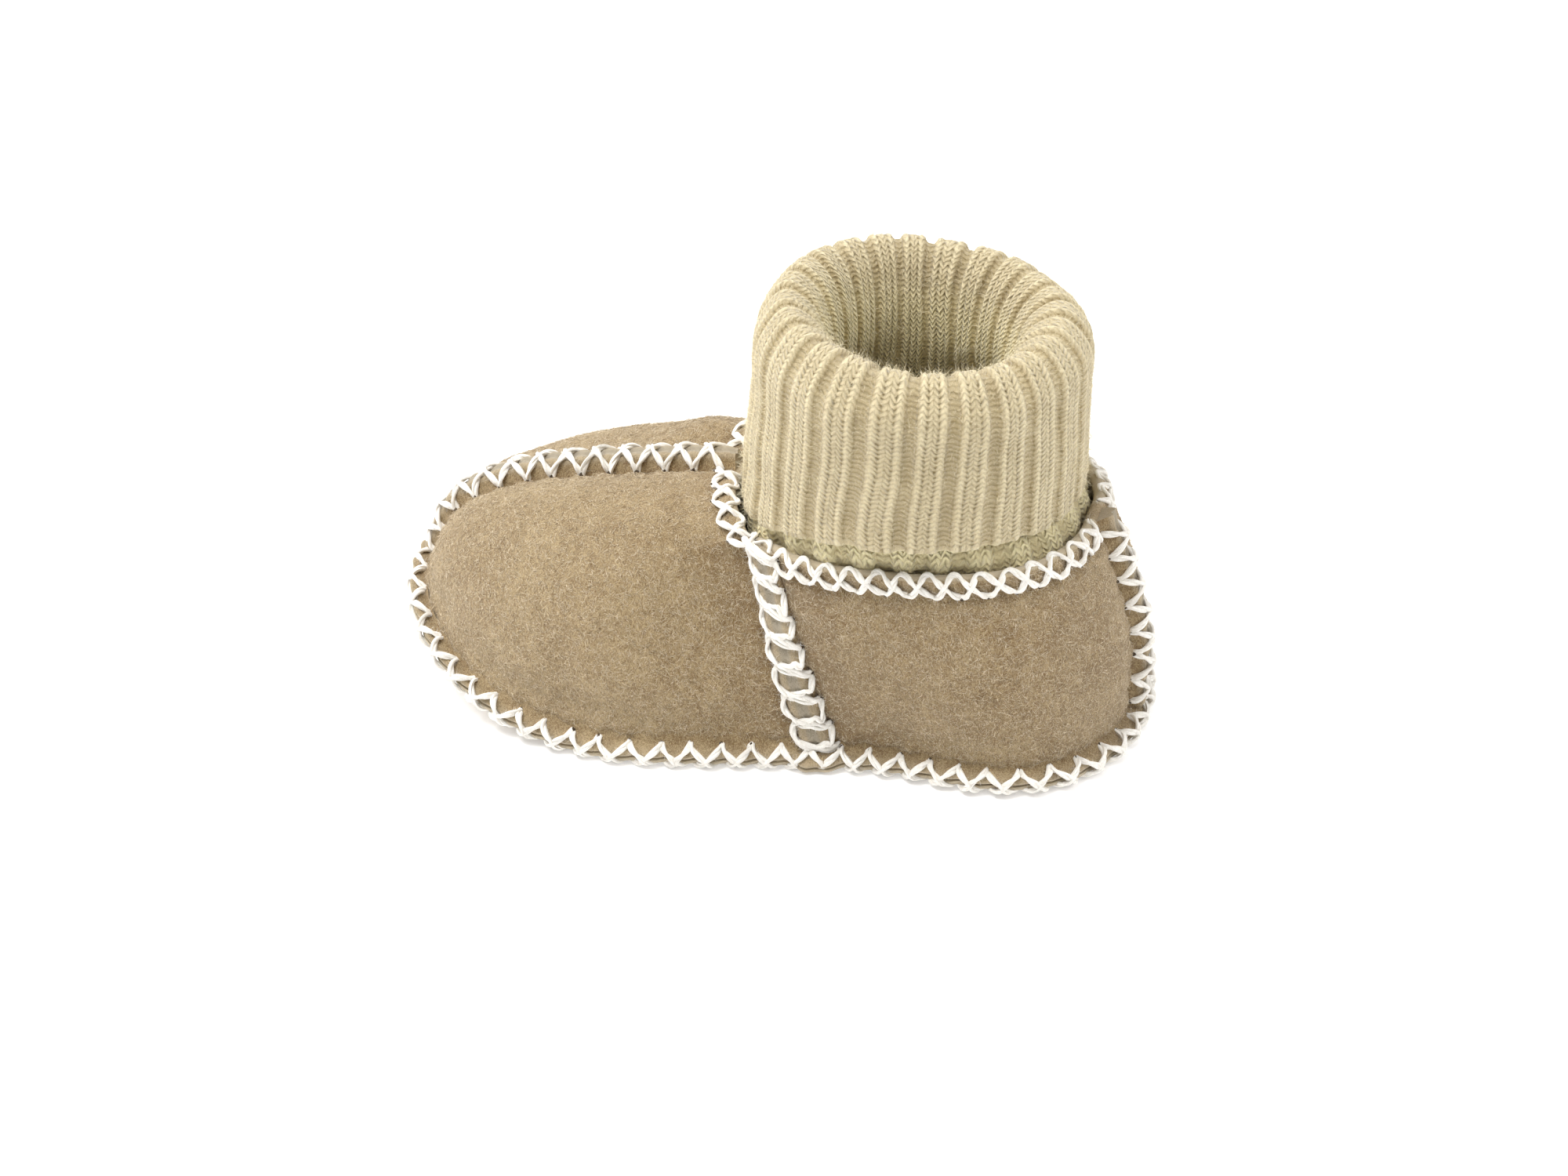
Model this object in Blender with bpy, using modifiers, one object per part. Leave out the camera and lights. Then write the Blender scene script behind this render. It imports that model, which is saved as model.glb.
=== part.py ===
"""A sheepskin baby bootie with a turned-down knitted cuff, standing empty on its sole.

Suede panels are sewn together with their edges turned out, so every seam is a raised ridge:
one over the toe and instep, one down each side, one down the heel and one around the sole.
+X points to the toe, +Y to the left side and +Z up. The origin is on the floor, under the
middle of the bootie. All sizes are in metres. Only the left half is modelled, and a mirror
makes the right half.
"""

from collections import namedtuple
import math

import bmesh
import bpy
import numpy as np

# Sole
SOLE_LENGTH = 0.1260  # raw edge at the heel to raw edge at the toe
BALL_WIDTH = 0.0660
WAIST_WIDTH = 0.0515
HEEL_WIDTH = 0.0575
BALL_PLACE, WAIST_PLACE, HEEL_PLACE = 0.68, 0.31, 0.08  # shares of the sole's length, from the heel
TOE_ROUND_START, HEEL_ROUND_START = 0.60, 0.25
TOE_POWER, HEEL_POWER = 2.35, 2.3  # 2 is an ellipse, and more is squarer
SOLE_SKIN = 0.0018
EDGE_CLEARANCE = 0.0012  # the seam's raw edge hangs this far above the floor
BELLY_REACH = 0.0060  # from the sole seam inwards to the flat of the sole
TOE_LIFT = 0.0135  # how far the toe's tip curls up
LIFT_START, LIFT_POWER = 0.62, 3.0

# Seams
SKIN = 0.0018  # thickness of the upper's sheepskin
SEAM_MARGIN = 0.0032  # stitch holes to raw edge
SEAM_DROP = 0.0012  # the sole seam's margin slopes down by this much to its raw edge
RIDGE_HEIGHT = 0.0028
RIDGE_HALF = 0.0019  # half the thickness of the two skins standing together
RIDGE_TOP = 0.75  # width of a ridge's top, as a share of its foot
INNER_SIDE = 0.3  # the inner wall starts this share of the ridge's half beside the middle plane
PINCH = 0.0009  # how far the stitches pull the wall in beside a ridge
PINCH_REACH = 0.0060
GAP = 0.0003  # clearance between pieces that meet

# Upper
INSTEP_HEIGHT = 0.0418  # top of the wall at the throat
COLLAR_SIDE_HEIGHT = 0.0372
COLLAR_BACK_HEIGHT = 0.0400
THROAT_X = 0.0066
ANKLE_X = -0.0240  # middle of the ankle's opening
COLLAR_BACK_X = -0.0553
COLLAR_WIDTH = 0.0500
COLLAR_POWER = 2.5
CORNER_TURN = 0.275  # where the side seams reach the collar, in half turns from the front
RISE_POWER = 0.6  # below 1 the collar starts to rise soon behind the ankle's middle
FALL_POWER = 2.0  # how long the throat's edge stays level before it falls to the side seams
SIDE_SEAM_X = -0.0135  # where each side seam meets the sole
HEEL_BULGE = 0.0036  # how far the heel stands out behind the sole seam
SIDE_BELLY = 0.07  # how far a wall leans out as it leaves the sole, as a share of its height
SIDE_HANDLE = 0.4  # length of a side seam's curve handles, as a share of its rise
TOE_FULLNESS, VAMP_FULLNESS = 0.38, 0.76  # 0.55 makes sections elliptical, and more fills them out
VAMP_PUFF = 0.06  # how steeply a section rises as it leaves the centre seam
TOE_OVERHANG = 0.25  # how far the toe's wall leans ahead of its foot, as a share of its reach
TOE_TIP_TILT = math.radians(20)  # the wall's outward direction at the toe's tip, above level
THROAT_SETTLE = 0.45  # the sections turn into the throat's edge from this share of the vamp on

# Knitted cuff
KNIT = 0.0024  # thickness of the rib knit
CUFF_TOP = 0.0785
CUFF_FALL = 0.0035  # how much lower the top lies at the back
CUFF_X = -0.0235  # middle of the hem
CUFF_LEAN = 0.0016  # how far the cuff leans back, from its hem to its top
CUFF_LENGTH, CUFF_WIDTH = 0.0540, 0.0500  # outside of the turned-down layer
CUFF_POWER = 2.15
CUFF_FOLD = 0.0125  # from the opening's inner face to the outside, at the top
HEM_HEIGHT = 0.0449
HEM_RISE_BACK = 0.0016
HEM_FLARE = 0.0008
TUCK = 0.0050  # how far the knit reaches down inside the collar
RIBS = 24
RIB_DEPTH = 0.0008

# Fleece footbed
FLEECE = 0.0030
FLEECE_EDGE = 0.0012  # its thickness at the rim
FLEECE_GAP = 0.0005  # its own clearance to the sole, which curls up under it

# Mesh density
VAMP_STATIONS, QUARTER_STATIONS = 18, 15
LOWER_ROWS, UPPER_ROWS = 8, 9  # beside the side seam, and beside the throat above it
CUFF_ROWS = 13
FACES_PER_RIB = 4
DENSE = 400  # samples of a curve before it is divided evenly
WELD = 0.000001
RING_SHARES = (0.66, 0.33, 0.0)  # rings inside the sole's flat rim, down to its middle line

# The centre seam, from the toe's tip to the throat, as shares of the way back and up
TopPoint = namedtuple("TopPoint", "back up")
TOP_LINE = (
    TopPoint(back=0.000, up=0.00),
    TopPoint(back=0.025, up=0.21),
    TopPoint(back=0.080, up=0.42),
    TopPoint(back=0.165, up=0.57),
    TopPoint(back=0.300, up=0.70),
    TopPoint(back=0.540, up=0.83),
    TopPoint(back=0.780, up=0.93),
    TopPoint(back=1.000, up=1.00),
)

# The heel seam, from the sole to the collar: out as a share of the bulge, up of the height
HeelPoint = namedtuple("HeelPoint", "out up")
HEEL_LINE = (
    HeelPoint(out=0.00, up=0.00),
    HeelPoint(out=0.70, up=0.20),
    HeelPoint(out=1.00, up=0.46),
    HeelPoint(out=0.62, up=0.74),
    HeelPoint(out=0.00, up=1.00),
)

# The cuff's knit, from its tucked end up, over the fold and down to its hem. Inward is the
# share of the way from the turned-down layer to the opening, and joined is how much of the
# place comes from the collar below. Up is the share of the way to the top, from the collar
# or from the hem.
CuffPoint = namedtuple("CuffPoint", "start up inward joined")
CUFF_LINE = (
    CuffPoint(start="collar", up=0.00, inward=0.00, joined=1.00),
    CuffPoint(start="collar", up=0.17, inward=0.30, joined=0.80),
    CuffPoint(start="collar", up=0.42, inward=0.72, joined=0.30),
    CuffPoint(start="collar", up=0.72, inward=1.00, joined=0.00),
    CuffPoint(start="collar", up=0.91, inward=0.90, joined=0.00),
    CuffPoint(start="hem", up=1.00, inward=0.45, joined=0.00),
    CuffPoint(start="hem", up=0.89, inward=0.07, joined=0.00),
    CuffPoint(start="hem", up=0.60, inward=0.00, joined=0.00),
    CuffPoint(start="hem", up=0.30, inward=0.00, joined=0.00),
    CuffPoint(start="hem", up=0.00, inward=0.00, joined=0.00),
)

# A wall of the upper, as grids of points and of outward directions: stations by rows
Wall = namedtuple("Wall", "outer inner outward")

HEEL_END = -SOLE_LENGTH / 2
TOE_END = SOLE_LENGTH / 2
SEAM_STACK = SOLE_SKIN + GAP + SKIN  # the sole's skin and the upper's, at their seam
FLAT_INSET = SEAM_MARGIN + BELLY_REACH


def along(points):
    """Distance along a line of points, at each of them."""
    steps = np.linalg.norm(np.diff(points, axis=0), axis=1)
    return np.concatenate([[0.0], np.cumsum(steps)])


def divide(points, places):
    """Points at the given distances along a line."""
    lengths = along(points)
    return np.column_stack([np.interp(places, lengths, axis) for axis in points.T])


def evenly(points, count):
    """The same line, as count points evenly apart."""
    return divide(points, np.linspace(0, along(points)[-1], count))


def smooth_line(points):
    """A dense smooth curve through a few points, with a cubic between each two."""
    points = np.asarray(points, dtype=float)
    gaps = np.linalg.norm(np.diff(points, axis=0), axis=1)[:, None]
    slopes = np.diff(points, axis=0) / gaps
    tangents = np.vstack([
        slopes[:1],
        (slopes[:-1] * gaps[1:] + slopes[1:] * gaps[:-1]) / (gaps[:-1] + gaps[1:]),
        slopes[-1:],
    ])
    t = np.linspace(0, 1, DENSE // len(gaps), endpoint=False)[:, None]
    stretches = []
    for i, gap in enumerate(gaps):
        start = points[i] * (1 + 2 * t) * (1 - t) ** 2 + tangents[i] * gap * t * (1 - t) ** 2
        end = points[i + 1] * t ** 2 * (3 - 2 * t) + tangents[i + 1] * gap * t ** 2 * (t - 1)
        stretches.append(start + end)
    return np.vstack(stretches + [points[-1:]])


def bezier(start, leave, arrive, end, count):
    """Points along a cubic curve with the given ends and handles."""
    t = np.linspace(0, 1, count)[:, None]
    return (start * (1 - t) ** 3 + 3 * leave * t * (1 - t) ** 2
            + 3 * arrive * t ** 2 * (1 - t) + end * t ** 3)


def smoothstep(value):
    """0 up to 0 and 1 from 1 on, with a smooth rise between."""
    value = np.clip(value, 0, 1)
    return value * value * (3 - 2 * value)


def unit(vectors):
    return vectors / np.linalg.norm(vectors, axis=-1, keepdims=True)


def on_plane(points):
    """The same points, moved sideways to the middle plane."""
    return points * np.array([1, 0, 1])


def half_width(x):
    """Half the sole's width at a place along it."""
    share = (x - HEEL_END) / SOLE_LENGTH
    narrowing = smoothstep((share - HEEL_PLACE) / (WAIST_PLACE - HEEL_PLACE))
    widening = smoothstep((share - WAIST_PLACE) / (BALL_PLACE - WAIST_PLACE))
    width = HEEL_WIDTH + (WAIST_WIDTH - HEEL_WIDTH) * narrowing + (BALL_WIDTH - WAIST_WIDTH) * widening
    toe = np.clip((share - TOE_ROUND_START) / (1 - TOE_ROUND_START), 0, 1)
    heel = np.clip((HEEL_ROUND_START - share) / HEEL_ROUND_START, 0, 1)
    rounding = (1 - toe ** TOE_POWER) ** (1 / TOE_POWER) * (1 - heel ** HEEL_POWER) ** (1 / HEEL_POWER)
    return width / 2 * rounding


def outline(inset):
    """The left half of the sole's outline, from the toe's tip to the heel's, moved inwards."""
    turn = np.linspace(0, math.pi, DENSE)
    x = SOLE_LENGTH / 2 * np.cos(turn)
    edge = np.column_stack([x, half_width(x)])
    tangents = np.gradient(edge, axis=0)
    tangents[0], tangents[-1] = (0, 1), (0, -1)
    tangents = unit(tangents)
    outward = np.column_stack([tangents[:, 1], -tangents[:, 0]])
    return edge - inset * outward


def lift(x):
    """How far the toe spring raises the sole at a place along it."""
    start = HEEL_END + LIFT_START * SOLE_LENGTH
    return TOE_LIFT * np.clip((x - start) / (TOE_END - start), 0, 1) ** LIFT_POWER


def with_height(plan, height):
    """Points on a plan, raised by the toe spring and a height."""
    return np.column_stack([plan, height + lift(plan[:, 0])])


def length_at(line, axis, value):
    """How far along a line one coordinate first has a value."""
    passed = np.sign(line[:, axis] - value)
    i = int(np.argmax(passed[:-1] * passed[1:] <= 0))
    share = (value - line[i, axis]) / (line[i + 1, axis] - line[i, axis])
    lengths = along(line)
    return lengths[i] + share * (lengths[i + 1] - lengths[i])


def front_places():
    """Distances along the sole seam's crease where the vamp's stations stand."""
    crease = outline(SEAM_MARGIN)
    front = length_at(crease, 1, RIDGE_HALF)
    back = length_at(crease, 0, SIDE_SEAM_X + RIDGE_HALF)
    return np.linspace(front, back, VAMP_STATIONS)


def back_places():
    """Distances along the sole seam's crease where the quarter's stations stand."""
    crease = outline(SEAM_MARGIN)
    front = length_at(crease, 0, SIDE_SEAM_X - RIDGE_HALF)
    back = along(crease)[-1] - length_at(crease[::-1], 1, RIDGE_HALF)
    return np.linspace(front, back, QUARTER_STATIONS)


def seam_line(places, inset, height):
    """Points beside the sole's outline, level with places along the sole seam's crease."""
    lengths = along(outline(SEAM_MARGIN))
    rows = np.interp(places, lengths, np.arange(DENSE))
    beside = outline(inset)
    plan = np.column_stack([np.interp(rows, np.arange(DENSE), axis) for axis in beside.T])
    return with_height(plan, height)


def crease_line(places):
    """The foot of the upper's wall."""
    return seam_line(places, SEAM_MARGIN, EDGE_CLEARANCE + SEAM_DROP + SEAM_STACK)


def collar_point(turn):
    """The collar's edge at a turn in half turns from the front, on the left side."""
    angle = math.pi * turn
    reach = THROAT_X - ANKLE_X if turn < 0.5 else ANKLE_X - COLLAR_BACK_X
    x = ANKLE_X + reach * math.copysign(abs(math.cos(angle)) ** (2 / COLLAR_POWER), math.cos(angle))
    y = COLLAR_WIDTH / 2 * abs(math.sin(angle)) ** (2 / COLLAR_POWER)
    if turn < 0.5:
        fall = smoothstep(turn / CORNER_TURN) ** FALL_POWER
        return np.array([x, y, INSTEP_HEIGHT + (COLLAR_SIDE_HEIGHT - INSTEP_HEIGHT) * fall])
    rise = smoothstep((turn - 0.5) / 0.5) ** RISE_POWER
    return np.array([x, y, COLLAR_SIDE_HEIGHT + (COLLAR_BACK_HEIGHT - COLLAR_SIDE_HEIGHT) * rise])


def collar_line():
    """The collar's edge on the left side, from the throat to the heel."""
    return np.array([collar_point(turn) for turn in np.linspace(0, 1, DENSE)])


def side_seam(foot, head, count):
    """A line up the side wall, which leaves the sole leaning out and leans in at the collar."""
    rise = (head - foot) * (1, 0, 1)
    bulge = np.array([0, 2 * SIDE_BELLY * rise[2], 0])
    leave = foot + SIDE_HANDLE * rise + bulge
    arrive = head - SIDE_HANDLE * rise + bulge
    return bezier(foot, leave, arrive, head, count)


def centre_seam(toe, throat):
    """The foot of the ridge over the toe and instep, as one point for each station."""
    profile = [toe + (throat - toe) * (point.back, 0, point.up) for point in TOP_LINE]
    line = evenly(smooth_line(profile), VAMP_STATIONS)
    line[:, 1] = RIDGE_HALF
    return line


def heel_seam(foot, head):
    """The foot of the ridge down the heel, as one point for each row."""
    profile = []
    for point in HEEL_LINE:
        profile.append(foot + (head - foot) * point.up - (HEEL_BULGE * point.out, 0, 0))
    line = evenly(smooth_line(profile), LOWER_ROWS + 1)
    line[:, 1] = RIDGE_HALF
    return line


def vamp():
    """Outer wall ahead of the side seam: a grid of points, station by station from the toe."""
    foot = crease_line(front_places())
    collar = collar_line()
    throat = length_at(collar, 1, RIDGE_HALF)
    corner = length_at(collar, 0, collar_point(CORNER_TURN)[0] + RIDGE_HALF)
    throat_edge = divide(collar, np.linspace(corner, throat, UPPER_ROWS + 1))
    rear = np.vstack([side_seam(foot[-1], throat_edge[0], LOWER_ROWS + 1), throat_edge[1:]])
    ridge = centre_seam(foot[0], rear[-1])

    shares = np.linspace(0, 1, VAMP_STATIONS)
    fullness = TOE_FULLNESS + (VAMP_FULLNESS - TOE_FULLNESS) * shares
    sections = []
    for low, high, full in zip(foot, ridge, fullness):
        height, reach = high[2] - low[2], low[1] - high[1]
        leave = low + (TOE_OVERHANG * (low[0] - high[0]), SIDE_BELLY * height, full * height)
        arrive = high + (0, full * reach, VAMP_PUFF * height)
        sections.append(bezier(low, leave, arrive, high, LOWER_ROWS + UPPER_ROWS + 1))
    grid = np.array(sections)
    settled = smoothstep((shares - THROAT_SETTLE) / (1 - THROAT_SETTLE))
    return grid + settled[:, None, None] * (rear - grid[-1])


def quarter():
    """Outer wall behind the side seam: a grid of points, station by station to the heel."""
    foot = crease_line(back_places())
    collar = collar_line()
    corner = length_at(collar, 0, collar_point(CORNER_TURN)[0] - RIDGE_HALF)
    heel_top = along(collar)[-1] - length_at(collar[::-1], 1, RIDGE_HALF)
    head = divide(collar, np.linspace(corner, heel_top, QUARTER_STATIONS))
    front_edge = side_seam(foot[0], head[0], LOWER_ROWS + 1)
    back_edge = heel_seam(foot[-1], head[-1])

    s = np.linspace(0, 1, QUARTER_STATIONS)[:, None, None]
    v = np.linspace(0, 1, LOWER_ROWS + 1)[None, :, None]
    between_ends = (1 - v) * foot[:, None] + v * head[:, None]
    between_edges = (1 - s) * front_edge[None] + s * back_edge[None]
    corners = (1 - s) * ((1 - v) * foot[0] + v * head[0]) + s * ((1 - v) * foot[-1] + v * head[-1])
    return between_ends + between_edges - corners


def outward_of(grid):
    """Outward directions of a wall's grid. The toe's first station is a single point."""
    directions = np.cross(np.gradient(grid, axis=0), np.gradient(grid, axis=1))
    lengths = np.linalg.norm(directions, axis=2, keepdims=True)
    directions = directions / np.maximum(lengths, np.finfo(float).tiny)
    if np.linalg.norm(grid[0, 0] - grid[0, -1]) < WELD:
        directions[0] = (math.cos(TOE_TIP_TILT), 0, math.sin(TOE_TIP_TILT))
    return directions


def distances(grid, axis, from_end=False):
    """Distance of each point from the grid's first or last line, measured along the grid."""
    if from_end:
        return np.flip(distances(np.flip(grid, axis), axis), axis)
    steps = np.linalg.norm(np.diff(grid, axis=axis), axis=2)
    return np.insert(np.cumsum(steps, axis=axis), 0, 0, axis=axis)


def pinched(grid, outward, seams):
    """A wall drawn in beside its seams, where each seam is a grid of distances from it.
    The pull fades out towards the sole."""
    pull = np.max([np.exp(-(seam / PINCH_REACH) ** 2) for seam in seams], axis=0)
    pull *= smoothstep(distances(grid, 1) / PINCH_REACH)
    return grid - PINCH * pull[:, :, None] * outward


def wall(grid, seams):
    """A wall with its thickness, from its outer grid."""
    outward = outward_of(grid)
    outer = pinched(grid, outward, seams)
    inner = outer - SKIN * outward
    inner[..., 1] = np.maximum(inner[..., 1], INNER_SIDE * RIDGE_HALF)
    return Wall(outer, inner, outward)


def front_wall():
    grid = vamp()
    beside_throat = np.arange(grid.shape[1]) > LOWER_ROWS
    side = np.where(beside_throat, math.inf, distances(grid, 0, from_end=True))
    return wall(grid, [distances(grid, 1, from_end=True), side])


def back_wall():
    grid = quarter()
    return wall(grid, [distances(grid, 0), distances(grid, 0, from_end=True)])


def grounded(made, margin):
    """A wall whose inner side ends level with the sole seam's margin."""
    outward = unit((margin - made.outer[:, 0]) * (1, 1, 0))
    inner = made.inner.copy()
    inner[:, 0] = made.outer[:, 0] - SKIN * outward - (0, 0, SKIN)
    return made._replace(inner=inner)


def crest(foot, outward, inwards, margin):
    """The top of a ridge beside a line of its foot: lifted, and moved towards its middle.
    Its lower end lies on the sole seam's margin, which runs outwards from there."""
    lifted = foot + RIDGE_HEIGHT * outward
    lifted[0] = foot[0] + RIDGE_HEIGHT / SEAM_MARGIN * (margin - foot[0])
    return lifted + (1 - RIDGE_TOP) * RIDGE_HALF * inwards


def add_grid(bm, lines, flip=False):
    """Faces between neighbouring lines of points."""
    rows = [[bm.verts.new(point) for point in line] for line in lines]
    for a, b in zip(rows, rows[1:]):
        for i in range(len(a) - 1):
            corners = (a[i], b[i], b[i + 1], a[i + 1])
            bm.faces.new(corners[::-1] if flip else corners)


def make_upper_half():
    front_margin = seam_line(front_places(), 0, EDGE_CLEARANCE + SEAM_STACK)
    back_margin = seam_line(back_places(), 0, EDGE_CLEARANCE + SEAM_STACK)
    front = grounded(front_wall(), front_margin)
    back = grounded(back_wall(), back_margin)
    front.inner[0] = front.inner[0, 0]
    side = slice(0, LOWER_ROWS + 1)  # the vamp's rows beside the side seam

    # Half a ridge over the toe and instep, half a ridge down the heel and a ridge down the side
    to_middle = np.array([0.0, -1.0, 0.0])
    top_crest = crest(front.outer[:, -1], unit(on_plane(front.outward[:, -1])), to_middle, front_margin[0])
    heel_crest = crest(back.outer[-1], unit(on_plane(back.outward[-1])), to_middle, back_margin[-1])
    side_out = unit(front.outward[-1, side] + back.outward[0])
    backwards = unit(back.outer[0] - front.outer[-1, side])
    front_crest = crest(front.outer[-1, side], side_out, backwards, front_margin[-1])
    back_crest = crest(back.outer[0], side_out, -backwards, back_margin[0])

    bm = bmesh.new()
    top_middle, heel_middle = on_plane(top_crest), on_plane(heel_crest)
    inner_top, inner_heel = on_plane(front.inner[:, -1]), on_plane(back.inner[-1])
    add_grid(bm, np.concatenate([front.outer, top_crest[:, None], top_middle[:, None]], axis=1))
    add_grid(bm, np.concatenate([front.inner, inner_top[:, None]], axis=1), flip=True)
    outer = [front.outer[-1, side], front_crest, back_crest, *back.outer, heel_crest, heel_middle]
    inner_side = front.inner[-1, side]
    inner = [inner_side, inner_side, inner_side, *back.inner, inner_heel, inner_heel]
    add_grid(bm, outer)
    add_grid(bm, inner, flip=True)

    # Cut edges of the throat and the collar
    add_grid(bm, [np.vstack([front.outer[-1, LOWER_ROWS:], top_crest[-1], top_middle[-1]]),
                  np.vstack([front.inner[-1, LOWER_ROWS:], inner_top[-1], inner_top[-1]])])
    add_grid(bm, [[column[-1] for column in inner], [column[-1] for column in outer]])

    # Seam margin around the sole: its top, its raw edge and its underside
    def around(on_front, on_back, front_ridge, back_ridge):
        """A line around the foot, with a point more on each side of every ridge."""
        return np.vstack([on_plane(front_ridge[0]), front_ridge[0], on_front, front_ridge[1],
                          back_ridge[0], on_back, back_ridge[1], on_plane(back_ridge[1])])

    def doubled(on_front, on_back):
        return around(on_front, on_back, on_front[[0, -1]], on_back[[0, -1]])

    crease = around(front.outer[:, 0], back.outer[:, 0], (top_crest[0], front_crest[0]),
                    (back_crest[0], heel_crest[0]))
    edge = doubled(front_margin, back_margin)
    under_crease = doubled(front.outer[:, 0], back.outer[:, 0])
    foot = doubled(front.inner[:, 0], back.inner[:, 0])
    down = np.array([0, 0, SKIN])
    add_grid(bm, [foot, under_crease - down, edge - down, edge, crease], flip=True)
    return bm


def ring(inset, height, share=1.0):
    """A line around the left half of the sole, moved inwards, at a height over the toe spring.
    A share below 1 draws it in towards the sole's middle line."""
    whole = along(outline(SEAM_MARGIN))[-1]
    places = np.concatenate([[0], front_places(), back_places(), [whole]])
    line = seam_line(places, inset, height) * (1, share, 1)
    line[0, 1] = line[-1, 1] = 0
    return line


def make_sole_half():
    under = [ring(0, EDGE_CLEARANCE), ring(SEAM_MARGIN, EDGE_CLEARANCE + SEAM_DROP), ring(FLAT_INSET, 0)]
    under += [ring(FLAT_INSET, 0, share) for share in RING_SHARES]
    over = [line + (0, 0, SOLE_SKIN) for line in under]
    bm = bmesh.new()
    add_grid(bm, over)
    add_grid(bm, under, flip=True)
    add_grid(bm, [under[0], over[0]])
    return bm


def make_insole_half():
    clear = SEAM_MARGIN + SKIN + PINCH + 2 * GAP
    over_sole = SOLE_SKIN + FLEECE_GAP
    rise = (FLAT_INSET - clear) / BELLY_REACH * (EDGE_CLEARANCE + SEAM_DROP)
    under = [ring(clear, over_sole + rise), ring(FLAT_INSET, over_sole)]
    under += [ring(FLAT_INSET, over_sole, share) for share in RING_SHARES]
    over = [line + (0, 0, FLEECE) for line in under]
    over[0] = under[0] + (0, 0, FLEECE_EDGE)
    bm = bmesh.new()
    add_grid(bm, over)
    add_grid(bm, under, flip=True)
    add_grid(bm, [under[0], over[0]])
    return bm


def oval(turn, length, width):
    """A point of an oval around the cuff's middle, with a turn in half turns from its front."""
    angle = math.pi * turn
    across = abs(math.sin(angle)) ** (2 / CUFF_POWER)
    forward = math.copysign(abs(math.cos(angle)) ** (2 / CUFF_POWER), math.cos(angle))
    return np.array([CUFF_X + length / 2 * forward, width / 2 * across])


def opening_line():
    """The inner edge of the throat and the collar, from the front to the heel, with its turns
    around the ankle's axis, in half turns."""
    front, back = front_wall().inner, back_wall().inner
    edge = np.vstack([on_plane(front[-1, -1]), front[-1, :LOWER_ROWS - 1:-1], back[:, -1],
                      on_plane(back[-1, -1])])
    turns = np.arctan2(edge[:, 1], edge[:, 0] - ANKLE_X) / math.pi
    return turns, edge


def cuff_section(turn, turns, opening):
    """The middle line of the cuff's knit at one place around it, as a few points in space."""
    edge = np.array([np.interp(turn, turns, axis) for axis in opening.T])
    inwards = unit((np.array([ANKLE_X, 0, 0]) - edge) * (1, 1, 0))
    tucked = edge + (2 * GAP + KNIT / 2) * inwards
    starts = {"collar": edge[2], "hem": HEM_HEIGHT + HEM_RISE_BACK * smoothstep(turn)}
    top = CUFF_TOP - CUFF_FALL * smoothstep(turn) - KNIT / 2
    opening_in = 2 * CUFF_FOLD - KNIT
    points = [tucked - (0, 0, TUCK)]
    for point in CUFF_LINE:
        spread = HEM_FLARE * (1 - point.up) * (point.inward == 0) - KNIT / 2
        outer = oval(turn, CUFF_LENGTH + 2 * spread, CUFF_WIDTH + 2 * spread)
        inner = oval(turn, CUFF_LENGTH - opening_in, CUFF_WIDTH - opening_in)
        plan = outer + (inner - outer) * point.inward
        plan = plan + (tucked[:2] - plan) * point.joined
        start = starts[point.start]
        height = start + (top - start) * point.up
        plan[0] -= CUFF_LEAN * np.clip((height - starts["hem"]) / (top - starts["hem"]), 0, 1)
        points.append([*plan, height])
    return np.array(points)


def make_cuff_half():
    turns, opening = opening_line()
    columns = RIBS // 2 * FACES_PER_RIB + 1
    faces = []
    for turn in np.linspace(0, 1, columns):
        line = evenly(smooth_line(cuff_section(turn, turns, opening)), CUFF_ROWS)
        side = unit((line[0] - (CUFF_X, 0, 0)) * (1, 1, 0))
        across = np.cross(np.cross((0, 0, 1), side), unit(np.gradient(line, axis=0)))
        groove = RIB_DEPTH * (1 - math.cos(math.pi * RIBS * turn)) / 2
        outside = line - across * (KNIT / 2 - groove)
        inside = line + across * KNIT / 2
        loop = np.vstack([outside, inside[::-1], outside[:1]])
        faces.append(on_plane(loop) if turn in (0, 1) else loop)
    bm = bmesh.new()
    add_grid(bm, faces)
    return bm


def material(name, colour, roughness):
    made = bpy.data.materials.new(name)
    made.use_nodes = True
    shader = made.node_tree.nodes["Principled BSDF"]
    shader.inputs["Base Color"].default_value = (*colour, 1)
    shader.inputs["Roughness"].default_value = roughness
    shader.inputs["Metallic"].default_value = 0
    return made


def add_mirrored(name, bm, collection, finish, forward):
    """An object from its left half, closed by a mirror at the middle plane."""
    bmesh.ops.remove_doubles(bm, verts=bm.verts, dist=WELD)
    bmesh.ops.recalc_face_normals(bm, faces=bm.faces)
    mesh = bpy.data.meshes.new(name)
    bm.to_mesh(mesh)
    bm.free()
    mesh.shade_smooth()
    mesh.materials.append(finish)
    made = bpy.data.objects.new(name, mesh)
    made.location.x = forward
    collection.objects.link(made)
    mirror = made.modifiers.new("Other half", "MIRROR")
    mirror.use_axis = (False, True, False)
    mirror.merge_threshold = 10 * WELD
    return made


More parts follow.
